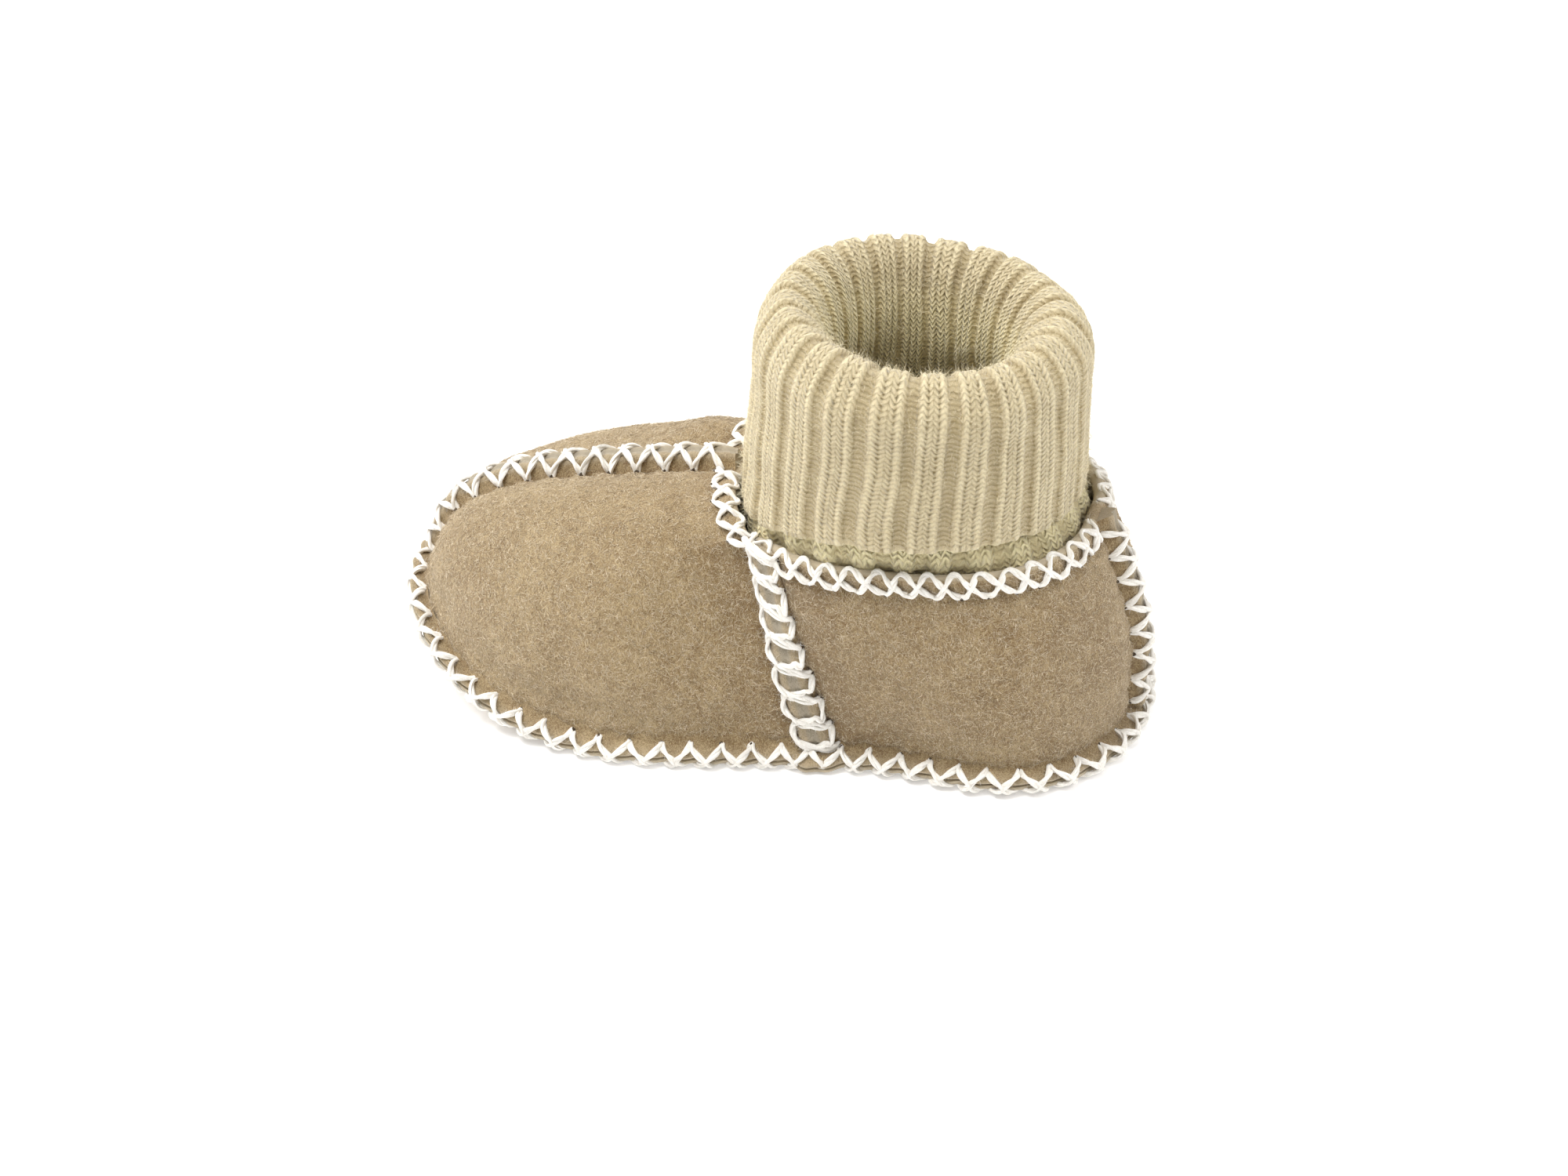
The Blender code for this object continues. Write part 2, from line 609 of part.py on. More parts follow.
def main():
    for old in list(bpy.data.objects):
        bpy.data.objects.remove(old, do_unlink=True)
    collection = bpy.data.collections.new("Sheepskin baby bootie")
    bpy.context.scene.collection.children.link(collection)

    suede = material("Suede", (0.42, 0.33, 0.21), 0.95)
    sole_suede = material("Sole suede", (0.36, 0.28, 0.18), 0.95)
    fleece = material("Fleece", (0.72, 0.66, 0.52), 1.0)
    knit = material("Rib knit", (0.66, 0.58, 0.42), 0.9)

    # The heel seam stands out behind the sole, so the whole bootie moves forward by half of that
    behind = HEEL_END - (quarter()[-1, :, 0].min() - RIDGE_HEIGHT + PINCH)
    forward = max(behind, 0) / 2

    add_mirrored("sole", make_sole_half(), collection, sole_suede, forward)
    add_mirrored("insole", make_insole_half(), collection, fleece, forward)
    add_mirrored("upper", make_upper_half(), collection, suede, forward)
    add_mirrored("knit_cuff", make_cuff_half(), collection, knit, forward)


main()
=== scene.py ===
"""Looks of the sheepskin baby bootie: napped suede, sheared wool, rib knit and white hand stitching."""

from collections import namedtuple
import math

import bpy
from mathutils import Matrix, Vector
import numpy as np


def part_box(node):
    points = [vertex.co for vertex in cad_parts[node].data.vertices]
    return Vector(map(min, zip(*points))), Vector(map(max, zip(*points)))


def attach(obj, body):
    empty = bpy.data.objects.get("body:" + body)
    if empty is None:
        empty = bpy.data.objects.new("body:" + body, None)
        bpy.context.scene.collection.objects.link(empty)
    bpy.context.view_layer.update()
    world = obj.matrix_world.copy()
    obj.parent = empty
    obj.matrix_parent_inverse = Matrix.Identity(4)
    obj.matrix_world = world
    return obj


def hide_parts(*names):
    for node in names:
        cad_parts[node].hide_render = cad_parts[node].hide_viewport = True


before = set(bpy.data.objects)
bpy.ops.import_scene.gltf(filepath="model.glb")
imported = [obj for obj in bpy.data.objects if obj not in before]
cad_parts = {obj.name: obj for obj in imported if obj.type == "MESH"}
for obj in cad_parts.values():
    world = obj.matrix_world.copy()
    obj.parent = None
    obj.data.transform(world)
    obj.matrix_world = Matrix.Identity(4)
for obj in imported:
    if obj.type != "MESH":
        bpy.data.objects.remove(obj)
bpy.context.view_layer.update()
SHIFT = (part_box("sole")[0].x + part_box("sole")[1].x) / 2

# The solids' own sizes in metres, and the shares and powers of their curves
SOLE_LENGTH = 0.1260
BALL_WIDTH, WAIST_WIDTH, HEEL_WIDTH = 0.0660, 0.0515, 0.0575
BALL_PLACE, WAIST_PLACE, HEEL_PLACE = 0.68, 0.31, 0.08
TOE_ROUND_START, HEEL_ROUND_START = 0.60, 0.25
TOE_POWER, HEEL_POWER = 2.35, 2.3
BELLY_REACH = 0.0066
TOE_LIFT, LIFT_START, LIFT_POWER = 0.0135, 0.62, 3.0
PINCH, PINCH_REACH = 0.0009, 0.0060
INSTEP_HEIGHT, COLLAR_SIDE_HEIGHT, COLLAR_BACK_HEIGHT = 0.0418, 0.0376, 0.0400
THROAT_X, ANKLE_X, COLLAR_BACK_X = 0.0063, -0.0240, -0.0551
COLLAR_WIDTH, COLLAR_POWER, CORNER_TURN = 0.0500, 2.5, 0.275
RISE_START, RISE_POWER, FALL_POWER = 0.42, 0.6, 2.0
SIDE_SEAM_X, HEEL_BULGE, SIDE_BELLY, SIDE_HANDLE = -0.0135, 0.0036, 0.045, 0.4
TOE_FULLNESS, VAMP_FULLNESS, VAMP_PUFF = 0.38, 0.78, 0.09
TOE_OVERHANG, TOE_TIP_TILT, THROAT_SETTLE = 0.25, math.radians(20), 0.55
KNIT, CUFF_TOP, CUFF_FALL = 0.0024, 0.0776, 0.0035
CUFF_X, CUFF_LEAN, CUFF_LENGTH, CUFF_WIDTH, CUFF_POWER = -0.0235, 0.0016, 0.0540, 0.0500, 2.15
CUFF_FOLD, HEM_FLARE, TUCK = 0.0125, 0.0008, 0.0050
RIBS = 24

# Height of the turned-down hem at turns around the ankle, from the front to the heel
HEM_LINE = ((0.00, 0.0402), (0.14, 0.0398), (0.23, 0.0412), (0.33, 0.0430), (0.45, 0.0445),
            (0.62, 0.0449), (0.76, 0.0449), (0.88, 0.0443), (1.00, 0.0440))

# Finer forms, which the solids leave out
SKIN = 0.0016
SEAM_MARGIN = 0.0027  # stitch holes to raw edge
SEAM_DROP = 0.0009
EDGE_CLEARANCE = 0.0009
SEAM_STACK = 0.0018  # both skins at the sole's seam, pressed together by the stitches
TOP_HALF, TOP_HEIGHT = 0.0025, 0.0025
SIDE_HALF, SIDE_HEIGHT = 0.0028, 0.0014
HEEL_HALF, HEEL_HEIGHT = 0.0024, 0.0025
THROAT_EASING = 220  # smoothing passes, which keep the throat's corner from creasing the vamp
TOE_CURL, HEEL_CURL, SEAM_LUMP = 0.0008, 0.0005, 0.0017  # of the sole's edge
CUFF_SAG = 0.0026
YARN = 0.00054  # radius of the two-strand sewing yarn
YARN_TWIST = 0.0075  # along the yarn for one turn of its strands
PITCH = 0.0050  # between stitch holes
COLLAR_PITCH, COLLAR_HOLES = 0.0043, 0.0028  # between holes, and from the cut edge down to them
LUMP_PITCH = 0.0049  # between the lumps of a side seam's stitches
HOLE_PULL, PUCKER = 0.00034, 0.00022  # of the suede, in at a hole and out between holes
HOLE_DOT = 0.00042
RIB_DEPTH, LEG_HEIGHT, BACK_DEPTH = 0.0007, 0.00016, 0.0006  # of ribs, their stitches and the knit's back
WALES_PER_RIB = 4
COURSE = 0.00086  # height of one row of knitting

# Mesh density
DENSE = 1600
VAMP_STATIONS, QUARTER_STATIONS = 170, 120
LOWER_ROWS, UPPER_ROWS = 62, 46
COLUMNS_PER_RIB = 20
FACE_ROWS, BACK_ROWS = 128, 52
LOOP = 640
YARN_STEP, YARN_SIDES = 0.00034, 5
VAMP_HAIRS, QUARTER_HAIRS, SEAM_HAIRS, CUFF_HAIRS, CUFF_BACK_HAIRS = 18000, 14000, 2600, 30000, 7000

# The vamp's ridge, as shares back from the toe and up
TOP_LINE = ((0.000, 0.00), (0.025, 0.21), (0.080, 0.42), (0.165, 0.57),
            (0.300, 0.70), (0.540, 0.83), (0.780, 0.93), (1.000, 1.00))

# The heel's line, as shares of its bulge and up
HEEL_LINE = ((0.00, 0.00), (0.70, 0.20), (1.00, 0.46), (0.62, 0.74), (0.00, 1.00))

# The knit's line: the level that it starts from, then shares up to the cuff's top, in to the mouth
# and in to the throat
CUFF_LINE = (
    ("collar", 0.00, 0.00, 1.00), ("collar", 0.055, 0.01, 0.50), ("collar", 0.13, 0.24, 0.10),
    ("collar", 0.40, 0.80, 0.05), ("collar", 0.64, 1.00, 0.00), ("collar", 0.83, 0.90, 0.00),
    ("collar", 0.95, 0.68, 0.00), ("hem", 1.00, 0.40, 0.00), ("hem", 0.90, 0.08, 0.00),
    ("hem", 0.60, 0.00, 0.00), ("hem", 0.30, 0.00, 0.00), ("hem", 0.00, 0.00, 0.00),
)

# Soft troughs and swells of the suede, placed on a wall of the left side (1) or the right
# (-1). Each has its two ends, as shares along from the toe or the side seam and up from the sole,
# then its reach and its depth inwards. A swell's depth is below zero.
CREASES = {
    ("vamp", 1): (
        (0.90, 0.06, 0.93, 0.50, 0.0052, 0.00060),
        (0.30, 0.09, 0.46, 0.07, 0.0034, 0.00055),
        (0.52, 0.08, 0.66, 0.10, 0.0030, 0.00040),
        (0.13, 0.10, 0.20, 0.20, 0.0032, 0.00045),
        (0.45, 0.40, 0.66, 0.42, 0.0110, -0.00070),
        (0.80, 0.22, 0.74, 0.40, 0.0048, 0.00035)),
    ("vamp", -1): (
        (0.88, 0.08, 0.94, 0.46, 0.0056, 0.00070),
        (0.38, 0.08, 0.55, 0.09, 0.0034, 0.00050),
        (0.50, 0.42, 0.62, 0.40, 0.0100, -0.00060),
        (0.90, 0.86, 1.00, 0.80, 0.0080, -0.00210),
        (0.42, 0.86, 0.66, 0.86, 0.0080, 0.00085)),
    ("quarter", 1): (
        (0.30, 0.90, 0.62, 0.88, 0.0046, 0.00050),
        (0.42, 0.45, 0.50, 0.55, 0.0100, -0.00060),
        (0.20, 0.12, 0.34, 0.10, 0.0036, 0.00040),
        (0.74, 0.30, 0.80, 0.62, 0.0052, 0.00040)),
    ("quarter", -1): (
        (0.34, 0.88, 0.60, 0.90, 0.0046, 0.00050),
        (0.40, 0.50, 0.55, 0.45, 0.0100, -0.00060),
        (0.66, 0.20, 0.78, 0.34, 0.0048, 0.00045)),
}

HEEL_END, TOE_END = -SOLE_LENGTH / 2, SOLE_LENGTH / 2


def along(points):
    steps = np.linalg.norm(np.diff(points, axis=0), axis=1)
    return np.concatenate([[0.0], np.cumsum(steps)])


def sampled(points, known, places):
    """Points in between, from points that stand at known places."""
    return np.column_stack([np.interp(places, known, axis) for axis in points.T])


def divide(points, places):
    return sampled(points, along(points), places)


def evenly(points, count):
    return divide(points, np.linspace(0, along(points)[-1], count))


def smooth_line(points, samples=DENSE):
    """A dense smooth curve through a few points, with a cubic between each two."""
    points = np.asarray(points, dtype=float)
    gaps = np.maximum(np.linalg.norm(np.diff(points, axis=0), axis=1)[:, None], 1e-9)
    slopes = np.diff(points, axis=0) / gaps
    middle = (slopes[:-1] * gaps[1:] + slopes[1:] * gaps[:-1]) / (gaps[:-1] + gaps[1:])
    tangents = np.vstack([slopes[:1], middle, slopes[-1:]])
    t = np.linspace(0, 1, max(samples // len(gaps), 2), endpoint=False)[:, None]
    stretches = []
    for i, gap in enumerate(gaps):
        start = points[i] * (1 + 2 * t) * (1 - t) ** 2 + tangents[i] * gap * t * (1 - t) ** 2
        end = points[i + 1] * t ** 2 * (3 - 2 * t) + tangents[i + 1] * gap * t ** 2 * (t - 1)
        stretches.append(start + end)
    return np.vstack(stretches + [points[-1:]])


def bezier(start, leave, arrive, end, count):
    t = np.linspace(0, 1, count)[:, None]
    return (start * (1 - t) ** 3 + 3 * leave * t * (1 - t) ** 2
            + 3 * arrive * t ** 2 * (1 - t) + end * t ** 3)


def smoothstep(value):
    value = np.clip(value, 0, 1)
    return value * value * (3 - 2 * value)


def bell(distance, width):
    return np.exp(-(distance / width) ** 2)


def unit(vectors):
    lengths = np.linalg.norm(vectors, axis=-1, keepdims=True)
    return vectors / np.maximum(lengths, 1e-12)


def on_plane(points):
    return points * np.array([1, 0, 1])


def mirrored(points):
    return points * np.array([1, -1, 1])


def half_width(x):
    """Half the sole's width at a place along it."""
    share = (x - HEEL_END) / SOLE_LENGTH
    narrowing = smoothstep((share - HEEL_PLACE) / (WAIST_PLACE - HEEL_PLACE))
    widening = smoothstep((share - WAIST_PLACE) / (BALL_PLACE - WAIST_PLACE))
    width = HEEL_WIDTH + (WAIST_WIDTH - HEEL_WIDTH) * narrowing + (BALL_WIDTH - WAIST_WIDTH) * widening
    toe = np.clip((share - TOE_ROUND_START) / (1 - TOE_ROUND_START), 0, 1)
    heel = np.clip((HEEL_ROUND_START - share) / HEEL_ROUND_START, 0, 1)
    rounding = (1 - toe ** TOE_POWER) ** (1 / TOE_POWER) * (1 - heel ** HEEL_POWER) ** (1 / HEEL_POWER)
    return width / 2 * rounding


def outline(inset):
    """The left half of the sole's outline, from the toe's tip to the heel's, moved inwards."""
    turn = np.linspace(0, math.pi, DENSE)
    x = SOLE_LENGTH / 2 * np.cos(turn)
    edge = np.column_stack([x, half_width(x)])
    tangents = np.gradient(edge, axis=0)
    tangents[0], tangents[-1] = (0, 1), (0, -1)
    tangents = unit(tangents)
    outward = np.column_stack([tangents[:, 1], -tangents[:, 0]])
    return edge - inset * outward


def lift(x):
    start = HEEL_END + LIFT_START * SOLE_LENGTH
    return TOE_LIFT * np.clip((x - start) / (TOE_END - start), 0, 1) ** LIFT_POWER


def with_height(plan, height):
    return np.column_stack([plan, height + lift(plan[:, 0])])


def length_at(line, axis, value):
    """How far along a line one coordinate first has a value."""
    passed = np.sign(line[:, axis] - value)
    i = int(np.argmax(passed[:-1] * passed[1:] <= 0))
    share = (value - line[i, axis]) / (line[i + 1, axis] - line[i, axis])
    lengths = along(line)
    return lengths[i] + share * (lengths[i + 1] - lengths[i])


def seam_line(places, inset, height):
    """Points beside the sole's outline, level with places along the sole seam's crease."""
    stations = np.arange(DENSE)
    rows = np.interp(places, along(outline(SEAM_MARGIN)), stations)
    return with_height(sampled(outline(inset), stations, rows), height)


def crease_line(places):
    return seam_line(places, SEAM_MARGIN, EDGE_CLEARANCE + SEAM_DROP + SEAM_STACK)


def oval(turn, power):
    """How far forward and sideways a squarish oval reaches at a turn, in half turns from the front."""
    angle = math.pi * turn
    forward = math.copysign(abs(math.cos(angle)) ** (2 / power), math.cos(angle))
    return forward, abs(math.sin(angle)) ** (2 / power)


def collar_point(turn):
    """The collar's edge at a turn in half turns from the front, on the left side."""
    forward, sideways = oval(turn, COLLAR_POWER)
    reach = THROAT_X - ANKLE_X if turn < 0.5 else ANKLE_X - COLLAR_BACK_X
    x, y = ANKLE_X + reach * forward, COLLAR_WIDTH / 2 * sideways
    fall = smoothstep(turn / CORNER_TURN) ** FALL_POWER
    rise = smoothstep((turn - RISE_START) / (1 - RISE_START)) ** RISE_POWER
    height = INSTEP_HEIGHT + (COLLAR_SIDE_HEIGHT - INSTEP_HEIGHT) * fall
    return np.array([x, y, height + (COLLAR_BACK_HEIGHT - COLLAR_SIDE_HEIGHT) * rise])


COLLAR = np.array([collar_point(turn) for turn in np.linspace(0, 1, DENSE)])


def side_seam(foot, head, count):
    rise = (head - foot) * (1, 0, 1)
    bulge = np.array([0, 2 * SIDE_BELLY * rise[2], 0])
    return bezier(foot, foot + SIDE_HANDLE * rise + bulge, head - SIDE_HANDLE * rise + bulge, head, count)


def vamp():
    """Outer wall ahead of the side seam: a grid of points, station by station from the toe."""
    crease = outline(SEAM_MARGIN)
    places = np.linspace(length_at(crease, 1, TOP_HALF), length_at(crease, 0, SIDE_SEAM_X + SIDE_HALF),
                         VAMP_STATIONS)
    foot = crease_line(places)
    throat = length_at(COLLAR, 1, TOP_HALF)
    corner = length_at(COLLAR, 0, collar_point(CORNER_TURN)[0] + SIDE_HALF)
    throat_edge = divide(COLLAR, np.linspace(corner, throat, UPPER_ROWS + 1))
    rear = np.vstack([side_seam(foot[-1], throat_edge[0], LOWER_ROWS + 1), throat_edge[1:]])
    toe = foot[0]
    profile = [toe + (rear[-1] - toe) * (back, 0, up) for back, up in TOP_LINE]
    ridge = evenly(smooth_line(profile), VAMP_STATIONS)
    ridge[:, 1] = TOP_HALF

    shares = np.linspace(0, 1, VAMP_STATIONS)
    fullness = TOE_FULLNESS + (VAMP_FULLNESS - TOE_FULLNESS) * shares
    sections = []
    for low, high, full in zip(foot, ridge, fullness):
        height, reach = high[2] - low[2], low[1] - high[1]
        leave = low + (TOE_OVERHANG * (low[0] - high[0]), SIDE_BELLY * height, full * height)
        arrive = high + (0, full * reach, VAMP_PUFF * height)
        sections.append(bezier(low, leave, arrive, high, LOWER_ROWS + UPPER_ROWS + 1))
    grid = np.array(sections)
    settled = smoothstep((shares - THROAT_SETTLE) / (1 - THROAT_SETTLE))
    gap = rear - grid[-1]
    eased = gap.copy()
    for _ in range(THROAT_EASING):
        eased[1:-1] = (eased[:-2] + 2 * eased[1:-1] + eased[2:]) / 4
    close = smoothstep((shares - 0.88) / 0.12)
    return grid + settled[:, None, None] * (eased + close[:, None, None] * (gap - eased))


def quarter():
    """Outer wall behind the side seam: a grid of points, station by station to the heel."""
    crease = outline(SEAM_MARGIN)
    front = length_at(crease, 0, SIDE_SEAM_X - SIDE_HALF)
    back = along(crease)[-1] - length_at(crease[::-1], 1, HEEL_HALF)
    foot = crease_line(np.linspace(front, back, QUARTER_STATIONS))
    corner = length_at(COLLAR, 0, collar_point(CORNER_TURN)[0] - SIDE_HALF)
    heel_top = along(COLLAR)[-1] - length_at(COLLAR[::-1], 1, HEEL_HALF)
    head = divide(COLLAR, np.linspace(corner, heel_top, QUARTER_STATIONS))
    front_edge = side_seam(foot[0], head[0], LOWER_ROWS + 1)
    low, high = foot[-1], head[-1]
    profile = [low + (high - low) * up - (HEEL_BULGE * out, 0, 0) for out, up in HEEL_LINE]
    back_edge = evenly(smooth_line(profile), LOWER_ROWS + 1)
    back_edge[:, 1] = HEEL_HALF
    s = np.linspace(0, 1, QUARTER_STATIONS)[:, None, None]
    v = np.linspace(0, 1, LOWER_ROWS + 1)[None, :, None]
    between_ends = (1 - v) * foot[:, None] + v * head[:, None]
    between_edges = (1 - s) * front_edge[None] + s * back_edge[None]
    corners = (1 - s) * ((1 - v) * foot[0] + v * head[0]) + s * ((1 - v) * foot[-1] + v * head[-1])
    return between_ends + between_edges - corners


def outward_of(grid):
    directions = unit(np.cross(np.gradient(grid, axis=0), np.gradient(grid, axis=1)))
    if np.linalg.norm(grid[0, 0] - grid[0, -1]) < 1e-6:
        directions[0] = (math.cos(TOE_TIP_TILT), 0, math.sin(TOE_TIP_TILT))
    return directions


def distances(grid, axis, from_end=False):
    """Distance of each point from the grid's first or last line, measured along the grid."""
    if from_end:
        return np.flip(distances(np.flip(grid, axis), axis), axis)
    steps = np.linalg.norm(np.diff(grid, axis=axis), axis=2)
    return np.insert(np.cumsum(steps, axis=axis), 0, 0, axis=axis)


def lumpy(points, size, seed):
    """Smooth random values from -1 to 1 at points in space, with swells about as wide as size."""
    table = np.random.default_rng(seed).uniform(-1, 1, 4096)
    scaled = np.asarray(points) / size
    cell = np.floor(scaled).astype(np.int64)
    share = smoothstep(scaled - cell)
    value = 0.0
    for corner in np.ndindex(2, 2, 2):
        place = cell + np.array(corner)
        key = (place[..., 0] * 73856093) ^ (place[..., 1] * 19349663) ^ (place[..., 2] * 83492791)
        value = value + table[key & 4095] * np.prod(np.where(corner, share, 1 - share), axis=-1)
    return value


def masked(first, second, third):
    """The three masks of a grid of points, each from one value or from rows or columns of them."""
    return np.stack(np.broadcast_arrays(first, second, third), axis=-1)


def at_holes(run, pitch):
    """A wave along a seam that is 1 at its stitch holes and 0 between them."""
    return 0.5 + 0.5 * np.cos(2 * math.pi * run / pitch)


class Pile:
    """Points and faces of one piece, with masks and a map, gathered before they become a mesh."""

    def __init__(self):
        self.points, self.masks, self.maps, self.faces, self.count = [], [], [], [], 0

    def add(self, points, faces, masks=(0, 0, 0), maps=(0, 0)):
        points = np.asarray(points, dtype=float).reshape(-1, 3)
        self.points.append(points)
        self.masks.append(np.broadcast_to(np.reshape(masks, (-1, 3)), points.shape))
        self.maps.append(np.broadcast_to(np.reshape(maps, (-1, 2)), (len(points), 2)))
        self.faces.extend((np.asarray(faces) + self.count).tolist())
        self.count += len(points)

    def grid(self, points, masks=(0, 0, 0), maps=(0, 0), flip=False):
        """Faces between neighbouring rows of points."""
        rows, columns = points.shape[:2]
        index = np.arange(rows * columns).reshape(rows, columns)
        corners = [index[:-1, :-1], index[1:, :-1], index[1:, 1:], index[:-1, 1:]]
        faces = np.stack(corners[::-1] if flip else corners, axis=-1).reshape(-1, 4)
        self.add(points, faces, masks, maps)


def finished(name, pile, looks, stands_for=()):
    """Makes a pile a piece of the scene, in its place on the frame."""
    mesh = bpy.data.meshes.new(name)
    points = np.vstack(pile.points) + (SHIFT, 0, 0)
    points[:, 2] = np.maximum(points[:, 2], 0)  # nothing reaches below the floor
    mesh.from_pydata(points.tolist(), [], pile.faces)
    masks = np.vstack(pile.masks)
    layer = mesh.color_attributes.new("masks", "FLOAT_COLOR", "POINT")
    layer.data.foreach_set("color", np.column_stack([masks, np.ones(len(masks))]).astype(np.float32).ravel())
    corners = np.empty(len(mesh.loops), dtype=np.int32)
    mesh.loops.foreach_get("vertex_index", corners)
    chart = mesh.uv_layers.new(name="chart")
    chart.data.foreach_set("uv", np.vstack(pile.maps)[corners].astype(np.float32).ravel())
    mesh.shade_smooth()
    mesh.materials.append(looks)
    piece = bpy.data.objects.new(name, mesh)
    bpy.context.scene.collection.objects.link(piece)
    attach(piece, "root")
    if stands_for:
        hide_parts(*stands_for)


# Materials

class Wire:
    """A value inside a material, so that its sums can be written as Python."""

    def __init__(self, tree, socket):
        self.tree, self.socket = tree, socket

    def node(self, operation, *inputs):
        node = self.tree.nodes.new("ShaderNodeMath")
        node.operation = operation
        for slot, value in zip(node.inputs, (self, *inputs)):
            if isinstance(value, Wire):
                self.tree.links.new(value.socket, slot)
            else:
                slot.default_value = value
        return Wire(self.tree, node.outputs[0])

    def __add__(self, other):
        return self.node("ADD", other)

    def __sub__(self, other):
        return self.node("SUBTRACT", other)

    def __mul__(self, other):
        return self.node("MULTIPLY", other)

    def clamped(self):
        return self.node("MINIMUM", 1.0).node("MAXIMUM", 0.0)


def fill(node, **values):
    """Sets a node's inputs, named with underscores for spaces."""
    for name, value in values.items():
        node.inputs[name.replace("_", " ")].default_value = value


def linear(colour):
    """A colour for the shaders from one as screens show it, 0 to 255."""
    shares = [channel / 255 for channel in colour]
    return tuple(s / 12.92 if s <= 0.04045 else ((s + 0.055) / 1.055) ** 2.4 for s in shares) + (1.0,)


class Looks:
    """A material with the few node patterns that the pieces share."""

    def __init__(self, name, roughness, sheen):
        self.material = bpy.data.materials.new(name)
        self.material.use_nodes = True
        self.tree = self.material.node_tree
        self.shader = self.tree.nodes["Principled BSDF"]
        fill(self.shader, Roughness=roughness, Specular_IOR_Level=0.2)
        fill(self.shader, Sheen_Weight=sheen, Sheen_Roughness=0.5)
        self.place = self.node("TexCoord")

    def node(self, kind):
        return self.tree.nodes.new("ShaderNode" + kind)

    def link(self, output, slot):
        self.tree.links.new(output, slot)

    def noise(self, per_metre, detail, distortion=0.0, stretch=(1, 1, 1)):
        shape, noise = self.node("Mapping"), self.node("TexNoise")
        fill(shape, Scale=stretch)
        self.link(self.place.outputs["Object"], shape.inputs["Vector"])
        fill(noise, Scale=per_metre, Detail=detail, Distortion=distortion)
        self.link(shape.outputs[0], noise.inputs["Vector"])
        return Wire(self.tree, noise.outputs["Fac"])

    def split(self, kind, source):
        """The three parts of a colour or of a place."""
        node = self.node(kind)
        self.link(source, node.inputs[0])
        return [Wire(self.tree, socket) for socket in node.outputs]

    def masks(self):
        attribute = self.node("Attribute")
        attribute.attribute_name = "masks"
        return self.split("SeparateColor", attribute.outputs["Color"])

    def mix(self, share, low, high):
        """Two colours mixed by a share. Each is a colour, 0 to 255, or the socket of one."""
        node = self.node("Mix")
        node.data_type = "RGBA"
        self.link(share.socket, node.inputs[0])
        for slot, colour in ((node.inputs[6], low), (node.inputs[7], high)):
            if isinstance(colour, tuple):
                slot.default_value = linear(colour)
            else:
                self.link(colour, slot)
        return node.outputs[2]

    def paint(self, colour):
        self.link(colour, self.shader.inputs["Base Color"])

    def bump(self, height, distance, strength):
        node = self.node("Bump")
        fill(node, Distance=distance, Strength=strength)
        self.link(height.socket, node.inputs["Height"])
        self.link(node.outputs[0], self.shader.inputs["Normal"])


def suede(name, dark, light, edge, wool):
    """Napped suede. The masks are: paler along raw edges, painted shade in creases and hollows, and wool."""
    looks = Looks(name, 0.95, 0.25)
    pale, shade, woolly = looks.masks()
    broad = looks.noise(95, 3.0, 0.6)
    patches = looks.noise(420, 4.0, 0.8)
    nap = looks.noise(1900, 5.0, 3.0, (1, 1, 0.6))
    grain = looks.noise(4600, 3.0, 2.0)
    tone = (broad * 1.5 - 0.75) * 0.55 + (patches * 1.4 - 0.7) * 0.50 + (nap * 3.0 - 1.5) * 1.00
    tone = (tone + (grain * 2.6 - 1.3) * 0.90 + 0.52 - shade * 0.75).clamped()
    colour = looks.mix(tone, dark, light)
    colour = looks.mix((pale + nap * 0.5 - 0.25).clamped() * pale.node("MINIMUM", 1.0), colour, edge)
    looks.paint(looks.mix(woolly, colour, wool))
    looks.bump(nap * 0.8 + grain * 0.6 + patches * 0.4, 0.00045, 0.8)
    return looks.material


def rib_knit(name, deep, low, top):
    """Wool rib: two columns of V stitches, then two sunken columns of cross bars."""
    looks = Looks(name, 0.95, 0.35)
    wale, course, _ = looks.split("SeparateXYZ", looks.place.outputs["UV"])
    _, shade, inside_bounce_light = looks.masks()
    wale = wale + (looks.noise(900, 3.0) - 0.5) * 0.35
    course = course + (looks.noise(600, 3.0) - 0.5) * 1.2
    fuzz = looks.noise(4200, 4.0, 2.0)
    patches = looks.noise(260, 3.0, 0.5)
    offset = ((wale * (1 / WALES_PER_RIB) + 0.5).node("FRACT") - 0.5).node("ABSOLUTE")

    def band(centre, width):
        share = (offset - centre) * (1 / width)
        return (share * share * -1.0).node("EXPONENT")

    across = (wale.node("FRACT") - 0.5).node("ABSOLUTE")
    raised = ((offset * -1.0 + 0.37) * 12.0).clamped()
    sunk = raised * -1.0 + 1.0
    legs = ((course + across * 1.6) * math.pi).node("SINE").node("ABSOLUTE")
    bars = ((course + across * 0.6) * math.pi).node("SINE").node("ABSOLUTE")
    dots = band(0.135, 0.034) * (legs * -0.7 + 1.1) + band(0.0, 0.020) * 0.35 + band(0.36, 0.018) * 0.3
    stitches = legs * raised * 0.8 + bars * sunk * 0.7 - dots * 1.1
    # Painted shade darkens the sunken bands and the dots between stitches; painted highlight lightens the
    # raised bar and the stitch legs.
    tone = band(0.235, 0.055) * 0.20 - dots * 0.50 - sunk * 0.24 + legs * raised * 0.24 + bars * sunk * 0.22
    tone = (tone + fuzz * 0.85 + patches * 0.40 - 0.13 - shade * 0.25).clamped()
    # Painted bounce light: inside the cuff and under its hem the knit takes a warmer, brighter colour.
    warm = (tone + legs * 0.20 - dots * 0.10 + 0.36).clamped()
    inside = looks.mix(warm, (190, 162, 102), (255, 242, 192))
    colour = looks.mix(inside_bounce_light, looks.mix(tone, low, top), inside)
    # The shade mask turns the knit towards the deep colour as painted shade.
    looks.paint(looks.mix(shade, colour, deep))
    looks.bump(stitches + fuzz * 0.7 + inside_bounce_light * legs * 0.6, 0.00050, 0.75)
    return looks.material


